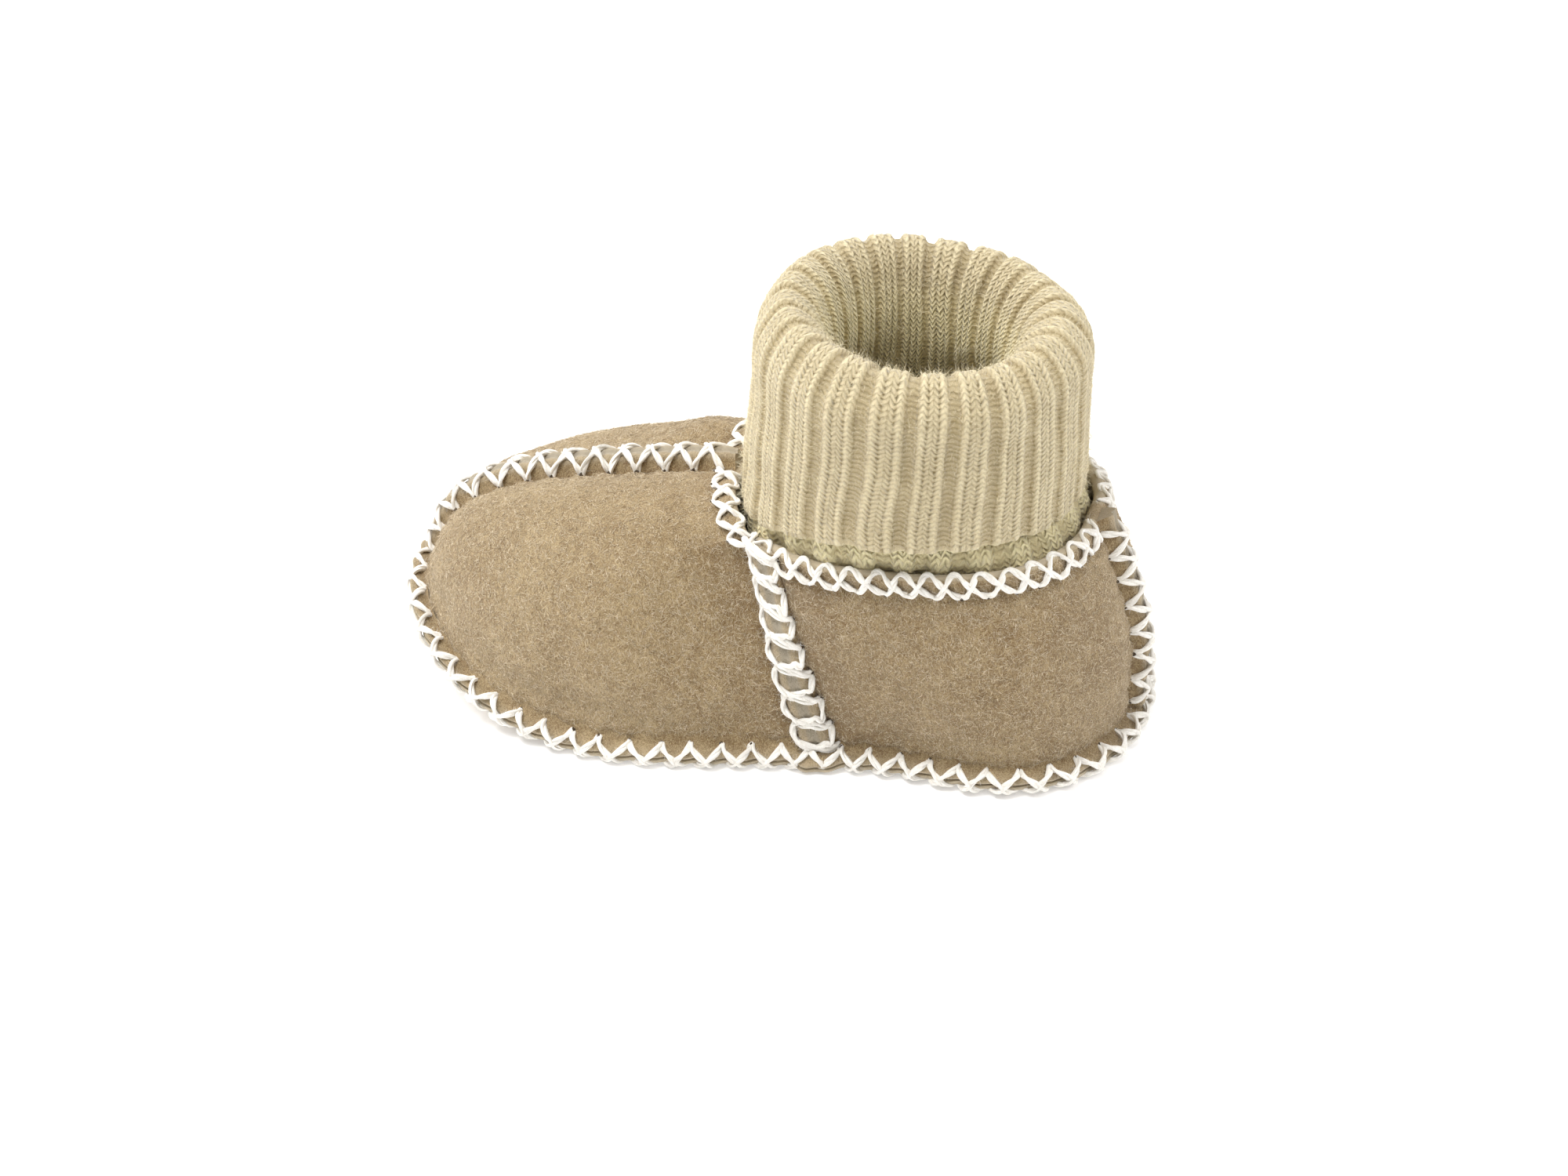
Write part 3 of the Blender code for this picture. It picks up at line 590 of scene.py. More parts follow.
def woolly(name, dark, light, per_metre, depth):
    """Curly wool pile."""
    looks = Looks(name, 1.0, 0.4)
    curls = looks.noise(per_metre, 5.0, 3.0)
    fine = looks.noise(per_metre * 4, 3.0, 1.0)
    looks.paint(looks.mix((curls * 1.6 - 0.3 + fine * 0.4 - 0.2).clamped(), dark, light))
    looks.bump(curls + fine * 0.4, depth, 0.9)
    return looks.material


def threads(name, dark, light):
    """Sewing yarn, or loose fibres."""
    looks = Looks(name, 0.85, 0.3)
    fibres = looks.noise(2600, 3.0, 1.0)
    looks.paint(looks.mix((fibres * 1.8 - 0.4).clamped(), dark, light))
    looks.bump(fibres, 0.00012, 0.5)
    return looks.material


# Hairs, yarn and stitches

rng = np.random.default_rng(7)
needle_holes = []
sewn_lines = []


def hairs(name, parts, width, curl, looks):
    """A piece of fine flat hairs, each a bent strip that narrows to its tip. Each part of it is
    roots, directions and lengths."""
    roots, directions, lengths = (np.concatenate(kind) for kind in zip(*parts))
    count = len(roots)
    directions = unit(directions)
    sideways = unit(np.cross(directions, rng.normal(size=(count, 3))))
    bend = unit(rng.normal(size=(count, 3))) * curl
    lengths = lengths[:, None]
    middle = roots + directions * lengths * 0.5 + bend * lengths * 0.2
    tip = roots + directions * lengths * 0.85 + bend * lengths * 0.8
    w = sideways * width / 2
    points = np.stack([roots - w, roots + w, middle + w * 0.8, middle - w * 0.8, tip], axis=1)
    base = np.arange(count)[:, None] * 5
    pile = Pile()
    pile.add(points, base + np.array([0, 1, 2, 3]))
    pile.faces.extend((base + np.array([3, 2, 4])).tolist())
    finished(name, pile, looks)


def tube(line, radius, first, second):
    """A tube's grid around a line, closed round by a repeated column."""
    angles = np.linspace(0, 2 * math.pi, YARN_SIDES + 1)
    ring = np.cos(angles)[None, :, None] * first[:, None] + np.sin(angles)[None, :, None] * second[:, None]
    return line[:, None] + radius[:, None, None] * ring


def frames_along(line):
    """Two directions across a line at each of its points, without twist."""
    tangents = unit(np.gradient(line, axis=0))
    first = np.empty_like(line)
    start = np.cross(tangents[0], (0.3, 0.5, 0.8))
    first[0] = start / np.linalg.norm(start)
    for i in range(1, len(line)):
        moved = first[i - 1] - tangents[i] * (first[i - 1] @ tangents[i])
        first[i] = moved / np.linalg.norm(moved)
    return first, np.cross(tangents, first)


def add_yarn(pile, line):
    """Two strands laid loosely round each other along a line."""
    line = evenly(line, max(int(along(line)[-1] / YARN_STEP), 4))
    first, second = frames_along(line)
    run = along(line)
    spin = run / YARN_TWIST * 2 * math.pi + rng.uniform(0, 6)
    wobble = 1 + 0.06 * np.sin(run / 0.0013 + rng.uniform(0, 6))
    ends = np.minimum(np.arange(len(line)), np.arange(len(line))[::-1])
    taper = np.clip((ends + 1) / 3, 0.3, 1)
    for half in (0, math.pi):
        offset = np.cos(spin + half)[:, None] * first + np.sin(spin + half)[:, None] * second
        pile.grid(tube(line + offset * YARN * 0.44, YARN * 0.66 * wobble * taper, first, second))


Seam = namedtuple("Seam", "middle across up half height")


def beside(seam, s, a, n):
    """Points beside a seam: s along it, a across it and n above it."""
    lengths = along(seam.middle)
    middle, across, up = (sampled(part, lengths, s) for part in (seam.middle, seam.across, seam.up))
    return middle + np.reshape(a, (-1, 1)) * across + np.reshape(n, (-1, 1)) * up


def pierce(seam, s, a, n):
    needle_holes.append(beside(seam, [s], a, n)[0])


def end_to_end(lines):
    return np.vstack([line[:-1] for line in lines] + [lines[-1][-1:]])


def crossing(places):
    """Two threads that cross each other over a seam. Each is a list of holes: a place along the seam
    and a side, -1 or 1."""
    return [[(s, sign * (-1) ** k) for k, s in enumerate(places)] for sign in (1, -1)]


def lattice(length, pitch, jitter, ends=0.4):
    """Crossing threads along an open seam, with a share of the pitch left free at each end."""
    count = max(int(round((length - 2 * ends * pitch) / pitch)), 1)
    places = ends * pitch + np.arange(count + 1) * (length - 2 * ends * pitch) / count
    return crossing(places + rng.uniform(-jitter, jitter, len(places)) * pitch)


def over_ridge(seam, thread, roundness, narrowing=0.5, sink=0.0006):
    """A thread's line over a ridge, from hole to hole on its two sides. The ridge's top is narrower
    than its foot by the narrowing."""
    lines = []
    for (s0, side0), (s1, side1) in zip(thread, thread[1:]):
        t = np.linspace(0, 1, 25)
        side = (1 - roundness) * (2 * t - 1) - roundness * np.cos(math.pi * t)
        if side1 < side0:
            side = -side
        angle = side * math.pi / 2
        up_share = np.abs(np.cos(angle)) ** (0.55 + 0.5 * narrowing)
        a = np.sign(np.sin(angle)) * np.abs(np.sin(angle)) ** 0.7
        a = a * ((1 - narrowing * up_share) * seam.half + YARN * 0.75)
        n = (seam.height + YARN * 0.8) * up_share
        dip = bell(1 - np.abs(side), 0.10)
        a = a - np.sign(side) * dip * YARN * 0.6
        lines.append(beside(seam, s0 + (s1 - s0) * t, a, n + YARN * 0.5 - sink * dip))
        pierce(seam, s0, side0 * (seam.half + 0.0003), 0.0002)
    return end_to_end(lines)


def splayed_lines(seam, flip):
    """Stitches over a splayed seam: lumps along its front edge, each tied to the next by a loop in
    front and, by way of a hole behind, by two bars and another loop."""
    half, length = seam.half, along(seam.middle)[-1]
    reach = (length - 0.0010) / max(round((length - 0.0010) / LUMP_PITCH), 1)
    lumps = np.arange(0.0006, length, reach)[::-1]
    lines = []

    def strand(points):
        s, side = smooth_line(points, 60).T
        dip = bell(side - 1, 0.10)
        n = seam.height * np.sqrt(np.clip(1 - np.abs(side) ** 3, 0, 1)) + YARN * (0.9 - 1.1 * dip)
        lines.append(beside(seam, s, flip * (side * half * 1.08), n))

    for here, below in zip(lumps, lumps[1:]):
        step = below - here
        left, right = -0.42 + rng.uniform(-0.05, 0.05), 1.0 + rng.uniform(-0.03, 0.02)
        hole = here + 0.15 * step
        for shift in (-0.08, 0.08):
            strand([(here + shift * step, left - 0.1), (here + (0.07 + shift) * step, 0.3), (hole, right)])
        strand([(hole, right), (here + 0.42 * step, 0.94), (here + 0.74 * step, 0.48), (below, left)])
        strand([(here, left), (here + 0.18 * step, -0.80), (here + 0.52 * step, -0.95),
                (here + 0.85 * step, -0.66), (below, left + 0.1)])
        pierce(seam, hole, flip * half * 1.12, 0.0003)
    for spot in (0.0004, 0.0011, length - 0.0012, length - 0.0003):
        strand([(spot + 0.0012, -1.0), (spot, 0.0), (spot - 0.0003, 1.0)])
    return lines


def over_edge(seam, thread, low=-0.0030, high=0.0011, roundness=0.8):
    """A thread's line that waves between holes below a cut edge and the knit above it."""
    lines = []
    for (s0, side0), (s1, side1) in zip(thread, thread[1:]):
        t = np.linspace(0, 1, 21)
        rise = roundness * (0.5 - 0.5 * np.cos(math.pi * t)) + (1 - roundness) * t
        side = side0 + (side1 - side0) * rise
        n = low + (high - low) * (side + 1) / 2
        over = smoothstep((n + SKIN * 0.3) / (high + SKIN * 0.3))
        near_hole = bell(side + 1, 0.14)
        lines.append(beside(seam, s0 + (s1 - s0) * t, YARN * 1.15 - over * seam.half - near_hole * 0.0007, n))
        if side0 < 0:
            pierce(seam, s0, 0.0, low - 0.0003)
    return end_to_end(lines)


# The suede walls

def hand_creases(grid, wall, side):
    """How far the listed troughs and swells move a wall inwards."""
    stations, rows = grid.shape[:2]
    depth = np.zeros((stations, rows))
    t = np.linspace(0, 1, 12)
    for along_a, up_a, along_b, up_b, reach, inwards in CREASES[wall, side]:
        i = (along_a + (along_b - along_a) * t) * (stations - 1)
        j = (up_a + (up_b - up_a) * t) * (rows - 1)
        line = grid[i.astype(int), j.astype(int)]
        nearest = np.min(np.linalg.norm(grid[:, :, None] - line, axis=3), axis=2)
        depth += inwards * bell(nearest, reach)
    return depth


def dressed(grid, wall, side, seams):
    """A wall drawn in at its stitches and creases, with its outward directions and its masks. A seam
    is distances from it, distances along it and its pitch. Side is 1 on the left, -1 on the right."""
    outward = outward_of(grid)
    if side < 0:
        grid, outward = mirrored(grid), mirrored(outward)
    fade = smoothstep(distances(grid, 1) / PINCH_REACH)
    broad = np.max([bell(away, PINCH_REACH) for away, _, _ in seams], axis=0) * fade
    near = np.min([away for away, _, _ in seams[:2]], axis=0)
    depth = PINCH * broad + hand_creases(grid, wall, side) * smoothstep(near / 0.006)
    depth -= 0.00022 * lumpy(grid, 0.0075, 11) + 0.00012 * lumpy(grid, 0.0032, 12)
    by_side_seam = seams[2 if wall == "vamp" else 1][0]
    pale = np.zeros(grid.shape[:2])
    # Painted shade beside the side seam and, a little, over the whole quarter, which faces away from the
    # light; below, more painted shade along each line of holes.
    shade = 0.48 * bell(by_side_seam, 0.0085) + (0.14 if wall == "quarter" else 0.0)
    for away, run, pitch in seams:
        holes = at_holes(run, pitch)
        depth += HOLE_PULL * bell(away, 0.0013) * holes
        depth -= PUCKER * bell(away - 0.0022, 0.0015) * (1 - holes)
        shade = np.maximum(shade, bell(away, 0.0020) * (0.16 + 0.22 * holes ** 2))
        pale = np.maximum(pale, 0.22 * bell(away - 0.0034, 0.0018))
    return grid - depth[:, :, None] * outward, outward, masked(pale, shade, 0.0)


def both_ways(half):
    """A ridge's whole profile from one half of it, as pairs of across and up."""
    return np.array([*half, *((-across, up) for across, up in half[-2::-1])])


STANDING = both_ways(((-1.00, 0.00), (-0.84, 0.24), (-0.70, 0.50), (-0.58, 0.76), (-0.46, 0.94),
                      (-0.34, 1.00), (-0.20, 0.95), (-0.09, 0.83), (0.00, 0.78)))
SPLAYED = both_ways(((-1.00, 0.00), (-0.90, 0.40), (-0.72, 0.80), (-0.50, 1.00), (-0.32, 0.97),
                     (-0.18, 0.88), (0.00, 0.84)))


def add_ridge(pile, first, second, up, height, seed, shape=STANDING):
    """Two skins standing together along a seam, from the two lines of its foot."""
    across, rise = evenly(smooth_line(shape, 300), 27).T
    middle, half = (first + second) / 2, (second - first) / 2
    free = 1 - at_holes(along(middle), PITCH)[:, None]
    spread = 1 + 0.10 * free * rise
    tall = height * (1 + 0.05 * free) * rise
    rough = 0.00010 * lumpy(middle[:, None] + up[:, None] * tall[:, :, None], 0.0011, seed)
    tall = tall + rough * rise
    grid = middle[:, None] + half[:, None] * (across * spread)[:, :, None] + up[:, None] * tall[:, :, None]
    pale = 0.7 * smoothstep((rise - 0.45) / 0.4)
    wool = smoothstep((0.42 - np.abs(across)) / 0.22)
    # Painted shade low on the ridge, where it meets the walls.
    low = 0.25 * (1 - smoothstep(rise / 0.35))
    pile.grid(grid, masked(pale, low * np.ones(free.shape), wool), flip=True)
    for end in (0, -1):
        pile.add(grid[end], [list(range(len(rise)))], (0.3, 0, 0.5))
    return Seam(middle, unit(half), up, float(np.mean(np.linalg.norm(half, axis=1))), height)


def collar_seam(away, run):
    """The collar's seam, from the distances to its cut edge."""
    return np.abs(away - COLLAR_HOLES) + 0.0004, run, COLLAR_PITCH


# Each wall's seams, as dressed() takes them
front, back = vamp(), quarter()
beside_throat = np.arange(front.shape[1]) > LOWER_ROWS
from_rear = distances(front, 0, from_end=True)
lengthways, upwards = distances(front, 0), distances(front, 1)
front_seams = (
    (upwards, lengthways[:, :1], PITCH),
    (distances(front, 1, from_end=True), lengthways[:, -1:], PITCH),
    (np.where(beside_throat, 1.0, from_rear), upwards[-1:], PITCH),
    collar_seam(np.where(beside_throat, from_rear, 1.0), upwards[-1:]),
)
lengthways, upwards = distances(back, 0), distances(back, 1)
back_seams = (
    (upwards, lengthways[:, :1], PITCH),
    (lengthways, upwards[:1], PITCH),
    (distances(back, 0, from_end=True), upwards[-1:], PITCH),
    collar_seam(distances(back, 1, from_end=True), lengthways[:, -1:]),
)

pile = Pile()
seams, walls = {}, {}
for side in (1, -1):
    for name, grid, its_seams in (("vamp", front, front_seams), ("quarter", back, back_seams)):
        walls[name, side] = points, outward, masks = dressed(grid, name, side, its_seams)
        pile.grid(points, masks, flip=side < 0)
        inner = (points - 2.2 * SKIN * outward)[::4, ::4]
        inner[..., 1] = side * np.maximum(side * inner[..., 1], 0.0005)
        pile.grid(inner, (0, 0, 1), flip=side > 0)

left, right = walls["vamp", 1], walls["vamp", -1]
up = unit(on_plane(left[1][:, -1]))
seams["top"] = add_ridge(pile, right[0][:, -1], left[0][:, -1], up, TOP_HEIGHT, 21)
left, right = walls["quarter", 1], walls["quarter", -1]
up = unit(on_plane(left[1][-1]))
seams["heel"] = add_ridge(pile, left[0][-1], right[0][-1], up, HEEL_HEIGHT, 22)
for side, name in ((1, "left"), (-1, "right")):
    ahead, behind = walls["vamp", side], walls["quarter", side]
    up = unit(ahead[1][-1, :LOWER_ROWS + 1] + behind[1][0])
    feet = (ahead[0][-1, :LOWER_ROWS + 1], behind[0][0])
    if side < 0:
        feet = feet[::-1]
    seams[name] = add_ridge(pile, *feet, up, SIDE_HEIGHT, 23, SPLAYED)


def edge_line(side):
    """The cut edge of the throat and the collar on one side, with its outward and upward directions."""
    ahead, behind = walls["vamp", side], walls["quarter", side]

    def both(kind, row):
        return np.vstack([ahead[kind][row, :LOWER_ROWS - 1:-1], behind[kind][:, row]])

    points = both(0, -1)
    return points, both(1, -1), unit(points - both(0, -6))


edges = {side: edge_line(side) for side in (1, -1)}
lips = []
for side, (points, outward, upward) in edges.items():
    lip = [points - outward * SKIN * 0.7 * (1 - math.cos(angle)) + upward * SKIN * 0.55 * math.sin(angle)
           for angle in np.linspace(0, math.pi, 7)]
    lip = np.array([*lip, lip[-1] - upward * 0.006])
    pale = np.array([0.5, 0.9, 1, 1, 1, 0.8, 0.5, 0.3])
    pile.grid(lip, masked(pale[:, None], 0.0, np.zeros(len(points))), flip=side < 0)
    lips.append(lip)
for end in (0, -1):
    pile.grid(np.stack([lips[0][:, end], lips[1][:, end]]), (0.4, 0, 0), flip=end < 0)

# The sole's seam: the upper's margin above, the sole's below
places = np.linspace(0, along(outline(SEAM_MARGIN))[-1], LOOP // 2 + 1)


def around_sole(inset, height, share=1.0):
    """A closed line around the whole sole, at a height over the toe spring. Its edge curls up a little
    at the toe and the heel, and stands out where a side seam ends in it."""
    line = seam_line(places, inset, height) * (1, share, 1)
    x, free = line[:, 0], np.clip(1 - inset / SEAM_MARGIN, 0, 1)
    lump = SEAM_LUMP * free * bell(x - SIDE_SEAM_X, 0.0030)
    curl = HEEL_CURL * smoothstep((-0.016 - x) / 0.020) + TOE_CURL * smoothstep((x - 0.030) / 0.018)
    line[:, 1] += lump
    line[:, 2] += curl * free - np.minimum(0.4 * lump, 0.5 * line[:, 2])
    line[0, 1] = line[-1, 1] = 0
    return np.vstack([line, mirrored(line[-2:0:-1]), line[:1]])


loop_s = along(around_sole(SEAM_MARGIN, 0.0))
tight_spots = at_holes(loop_s, loop_s[-1] / int(round(loop_s[-1] / PITCH)))


def add_rim(pile, profile):
    """Rows around the sole's seam. Each row of the profile is outward from the crease, up, tightness,
    paleness along the raw edge, and painted shade in the slit between the skins and in the creases."""
    rows = []
    for outward, height, tight, _, _ in profile:
        loose = around_sole(SEAM_MARGIN - outward, height)
        pulled = around_sole(SEAM_MARGIN - outward + 0.00055 * tight, height)
        share = (1 - tight_spots)[:, None]
        line = loose * (1 - share) + pulled * share
        line[:, 2] += 0.00013 * lumpy(line, 0.0022, 31)
        line[-1] = line[0]
        rows.append(line)
    pale, shade = np.array(profile)[:, 3:].T[:, :, None]
    pile.grid(np.array(rows), masked(pale, shade, np.zeros(len(loop_s))), flip=True)


crease_under = EDGE_CLEARANCE + SEAM_DROP
crease_top = crease_under + SEAM_STACK
slit = EDGE_CLEARANCE + SEAM_STACK * 0.52
margin = SEAM_MARGIN
add_rim(pile, (
    (-0.0002, crease_top + 0.0016, 0, 0, 0.1), (0.0003, crease_top + 0.0006, 0, 0.05, 0.15),
    (0.3 * margin, crease_top, 0.1, 0.2, 0.1), (0.6 * margin, crease_top - 0.0005, 0.3, 0.4, 0),
    (0.85 * margin, crease_top - 0.0009, 0.7, 0.55, 0), (0.97 * margin, crease_top - 0.0013, 1, 0.7, 0),
    (margin, slit + 0.0003, 1, 0.9, 0), (0.97 * margin, slit + 0.0001, 1, 0.9, 0.1),
    (0.80 * margin, slit, 0.6, 0.5, 0.5), (0.3 * margin, slit, 0.2, 0.2, 0.9),
))
suede_looks = suede("suede", (134, 108, 73), (200, 177, 136), (206, 191, 163), (186, 174, 152))
finished("upper_suede", pile, suede_looks, ("upper",))

pile = Pile()
add_rim(pile, (
    (0.3 * margin, slit - 0.0001, 0.2, 0.2, 1), (0.80 * margin, slit - 0.0001, 0.6, 0.5, 0.9),
    (0.98 * margin, slit - 0.0003, 1, 0.9, 0.1), (margin, EDGE_CLEARANCE + 0.0005, 1, 1, 0),
    (0.95 * margin, EDGE_CLEARANCE + 0.0001, 0.9, 0.9, 0), (0.80 * margin, EDGE_CLEARANCE, 0.5, 0.6, 0),
    (0.4 * margin, crease_under - 0.0004, 0.2, 0.3, 0.2), (0.0, crease_under, 0, 0, 0.6),
))
belly = []
for t in np.linspace(0, 1, 9):
    belly.append(around_sole(SEAM_MARGIN + BELLY_REACH * t, crease_under * (1 - smoothstep(t) ** 0.8)))
for t in np.linspace(0.93, 0, 16):
    belly.append(around_sole(SEAM_MARGIN + BELLY_REACH, 0.0, t))
belly = np.array(belly)
belly[..., 2] += np.maximum(0.00016 * lumpy(belly, 0.0060, 41), 0)
pile.grid(belly, flip=True)
sole_looks = suede("sole_suede", (140, 117, 84), (190, 168, 131), (205, 190, 162), (150, 138, 118))
finished("sole_suede", pile, sole_looks, ("sole",))

# The fleece footbed
pile = Pile()
rows = [around_sole(SEAM_MARGIN + 0.0022, 0.0032), around_sole(SEAM_MARGIN + 0.0028, 0.0050)]
for t in np.linspace(1, 0, 26):
    rows.append(around_sole(SEAM_MARGIN + 0.0050, 0.0056, t))
fleece = np.array(rows)
fleece[1:, :, 2] += 0.0005 * lumpy(fleece[1:], 0.0030, 51) + 0.0003 * lumpy(fleece[1:], 0.0013, 52)
pile.grid(fleece)
fleece_looks = woolly("fleece", (160, 138, 98), (226, 211, 175), 900, 0.0009)
finished("insole_fleece", pile, fleece_looks, ("insole",))

# The knitted cuff

def cuff_oval(turn, wider):
    forward, sideways = oval(turn, CUFF_POWER)
    return np.array([CUFF_X + (CUFF_LENGTH + wider) / 2 * forward, (CUFF_WIDTH + wider) / 2 * sideways])


edge, outward, _ = edges[1]
opening = edge - 1.5 * SKIN * unit(outward * (1, 1, 0))
opening = np.vstack([on_plane(opening[:1]), opening, on_plane(opening[-1:])])
turns = np.arctan2(opening[:, 1], opening[:, 0] - ANKLE_X) / math.pi
order = np.argsort(turns)
opening, turns = opening[order], turns[order]


def cuff_section(turn, side):
    """The middle line of the cuff's knit at one place around it, as a few points in space. On the
    left its top sags a little."""
    place = sampled(opening, turns, turn)[0]
    inwards = unit((np.array([ANKLE_X, 0, 0]) - place) * (1, 1, 0))
    tucked = place + (KNIT / 2 + 0.0034 * (1 - smoothstep((turn - 0.04) / 0.14))) * inwards
    starts = {"collar": place[2], "hem": np.interp(turn, *np.array(HEM_LINE).T)}
    top = CUFF_TOP - CUFF_FALL * smoothstep(turn) - KNIT / 2
    if side > 0:
        top -= CUFF_SAG * math.sin(math.pi * turn) ** 2 * (0.6 + 0.6 * turn)
    inner = cuff_oval(turn, KNIT - 2 * CUFF_FOLD)
    points = [tucked - (0, 0, TUCK)]
    for start, up, inward, joined in CUFF_LINE:
        spread = HEM_FLARE * (1 - up) * (inward == 0) - KNIT / 2
        outer = cuff_oval(turn, 2 * spread)
        plan = outer + (inner - outer) * inward
        plan = plan + (tucked[:2] - plan) * joined
        height = starts[start] + (top - starts[start]) * up
        plan[0] -= CUFF_LEAN * np.clip((height - starts["hem"]) / (top - starts["hem"]), 0, 1)
        points.append([*plan, height])
    return np.array(points) * (1, side, 1)


turn = np.linspace(0, 2, RIBS * COLUMNS_PER_RIB + 1)
middle, runs = [], []
for value in turn:
    line = smooth_line(cuff_section(min(value, 2 - value), 1 if value < 1 else -1), 600)
    middle.append(evenly(line, FACE_ROWS))
    runs.append(along(line)[-1])
middle, runs = np.array(middle), np.array(runs)
level = np.linspace(0, 1, FACE_ROWS)
dents = 0.0014 * lumpy(middle, 0.016, 61) + 0.0006 * lumpy(middle, 0.006, 62)
dents[-1] = dents[0]
tangent = unit(np.gradient(middle, axis=1))
side_direction = unit((middle[:, :1] - (CUFF_X, 0, 0)) * (1, 1, 0))
across = np.cross(np.cross((0, 0, 1), side_direction), tangent)
place = RIBS * turn[:, None] / 2 + 0.11 * lumpy(middle, 0.012, 63) * np.sin(math.pi * turn)[:, None] ** 2
offset = np.abs(place - np.round(place))
fold = bell(level - 0.56, 0.10)
inside = 1 - smoothstep((level - 0.42) / 0.12)
raised = smoothstep((0.41 + 0.03 * inside - offset) / 0.11)
legs = bell(offset - 0.235, 0.06) - bell(offset - 0.135, 0.035)
deep = RIB_DEPTH + 0.0001 * fold + 0.0001 * inside * smoothstep(level / 0.2)
uneven = 1 + 0.45 * lumpy(middle, 0.008, 65)
uneven[-1] = uneven[0]
lobes = 0.0001 * fold * np.cos(math.pi * np.minimum(offset / 0.5, 1))
face_out = KNIT / 2 - deep * uneven * (1 - raised) + LEG_HEIGHT * legs + lobes
face = middle - across * face_out[:, :, None] + across * dents[:, :, None] * 0.5
back_rows = np.linspace(1, 0, BACK_ROWS)
picked = np.clip((back_rows * (FACE_ROWS - 1)).round().astype(int), 0, FACE_ROWS - 1)
back_raised = smoothstep((offset[:, picked] - 0.17) / 0.15)
back_out = KNIT / 2 - BACK_DEPTH * (1 - back_raised)
back_face = middle[:, picked] + across[:, picked] * (back_out + 0.5 * dents[:, picked])[:, :, None]
cap = []
for angle in (0.25, 0.5, 0.75):
    share = 0.5 - 0.5 * math.cos(math.pi * angle)
    bulge = tangent[:, -1] * KNIT * 0.45 * math.sin(math.pi * angle)
    cap.append(face[:, -1] * (1 - share) + back_face[:, 0] * share + bulge)
loop = np.concatenate([face, np.stack(cap, axis=1), back_face], axis=1)
loop[-1] = loop[0]
face_map = np.stack(np.broadcast_arrays(WALES_PER_RIB * place, level * runs[:, None] / COURSE), axis=-1)
back_map = face_map[:, picked] + (2, 0)
cap_map = np.repeat(face_map[:, -1:], 3, axis=1)
maps = np.concatenate([face_map, cap_map, back_map], axis=1)
maps[-1, :, 0] = maps[0, :, 0] + WALES_PER_RIB * RIBS
down_inside = 1 - smoothstep((level - 0.06) / 0.24)
face_shade = 0.08 * (1 - raised) * inside + 0.25 * down_inside
# The third mask marks painted bounce light: warmer and brighter knit inside the cuff and on its back under
# the hem.
face_masks = masked(0.0, np.clip(face_shade, 0, 1), 0.8 * inside)
back_masks = masked(0.0, 0.15 * (1 - back_raised), 1.0)
cap_masks = np.repeat(back_masks[:, :1] * (1, 1, 0.3), 3, axis=1)
masks = np.concatenate([face_masks, cap_masks, back_masks], axis=1)
pile = Pile()
pile.grid(loop, masks, maps)
knit_looks = rib_knit("rib_knit", (150, 122, 70), (160, 138, 92), (242, 227, 188))
finished("cuff_knit", pile, knit_looks, ("knit_cuff",))

# White stitching
yarn_looks = threads("yarn", (234, 228, 217), (254, 252, 247))


def sewn(name, lines):
    pile = Pile()
    for line in lines:
        add_yarn(pile, line)
    sewn_lines.extend(lines)
    finished(name, pile, yarn_looks)


for name in ("top", "heel"):
    crossed = lattice(along(seams[name].middle)[-1], PITCH, 0.05)
    sewn("stitches_" + name, [over_ridge(seams[name], thread, 0.2) for thread in crossed])
sewn("stitches_left", splayed_lines(seams["left"], 1))
sewn("stitches_right", splayed_lines(seams["right"], -1))

# Around the sole the seam lies flat: across is down through its two skins
crease = around_sole(SEAM_MARGIN, crease_top - SEAM_STACK / 2)
edge_middle = around_sole(0.0, crease_top - SEAM_STACK / 2 - SEAM_DROP)
outwards = unit(edge_middle - crease)
tangent = unit(np.gradient(crease, axis=0))
tangent[0] = tangent[-1] = (0, 1, 0)
downwards = unit(np.cross(outwards, tangent))
downwards *= -np.sign(downwards[:, 2:])
whole = along(crease)[-1]
count = int(round(whole / PITCH))
count += count % 2
spots = np.arange(count + 1) * whole / count + 0.25 * PITCH
spots = spots + np.append(rng.uniform(-0.05, 0.05, count), 0) * PITCH
spots[-1] = spots[0] + whole
overlapped = [np.vstack([line, line[1:12]]) for line in (crease, downwards, outwards)]
sole_seam = Seam(*overlapped, SEAM_STACK / 2 + 0.0001, SEAM_MARGIN - 0.0002)
sewn("stitches_sole", [over_ridge(sole_seam, thread, 0.15, 0.0, 0.0003) for thread in crossing(spots)])

lines = []
for points, outward, upward in edges.values():
    seam = Seam(points, outward, upward, SKIN * 0.9, 0.0)
    lines += [over_edge(seam, thread) for thread in lattice(along(points)[-1], COLLAR_PITCH, 0.07, 0.1)]
sewn("stitches_collar", lines)

# Needle holes, as dark dots of painted shade half sunk in the suede
pile = Pile()
angles = np.linspace(0, 2 * math.pi, 7)[:-1]
dot = np.vstack([[(0, 0, 1)], np.column_stack([np.cos(angles), np.sin(angles), 0 * angles]), [(0, 0, -1)]])
sides = [[0, 1 + i, 1 + (i + 1) % 6] for i in range(6)] + [[7, 1 + (i + 1) % 6, 1 + i] for i in range(6)]
for hole in needle_holes:
    pile.add(hole + dot * HOLE_DOT * rng.uniform(0.8, 1.2), sides)
finished("needle_holes", pile, threads("hole_shade", (46, 36, 24), (84, 68, 48)))

# Nap of the suede, wool in the splayed seams and fuzz of the knit and the yarn

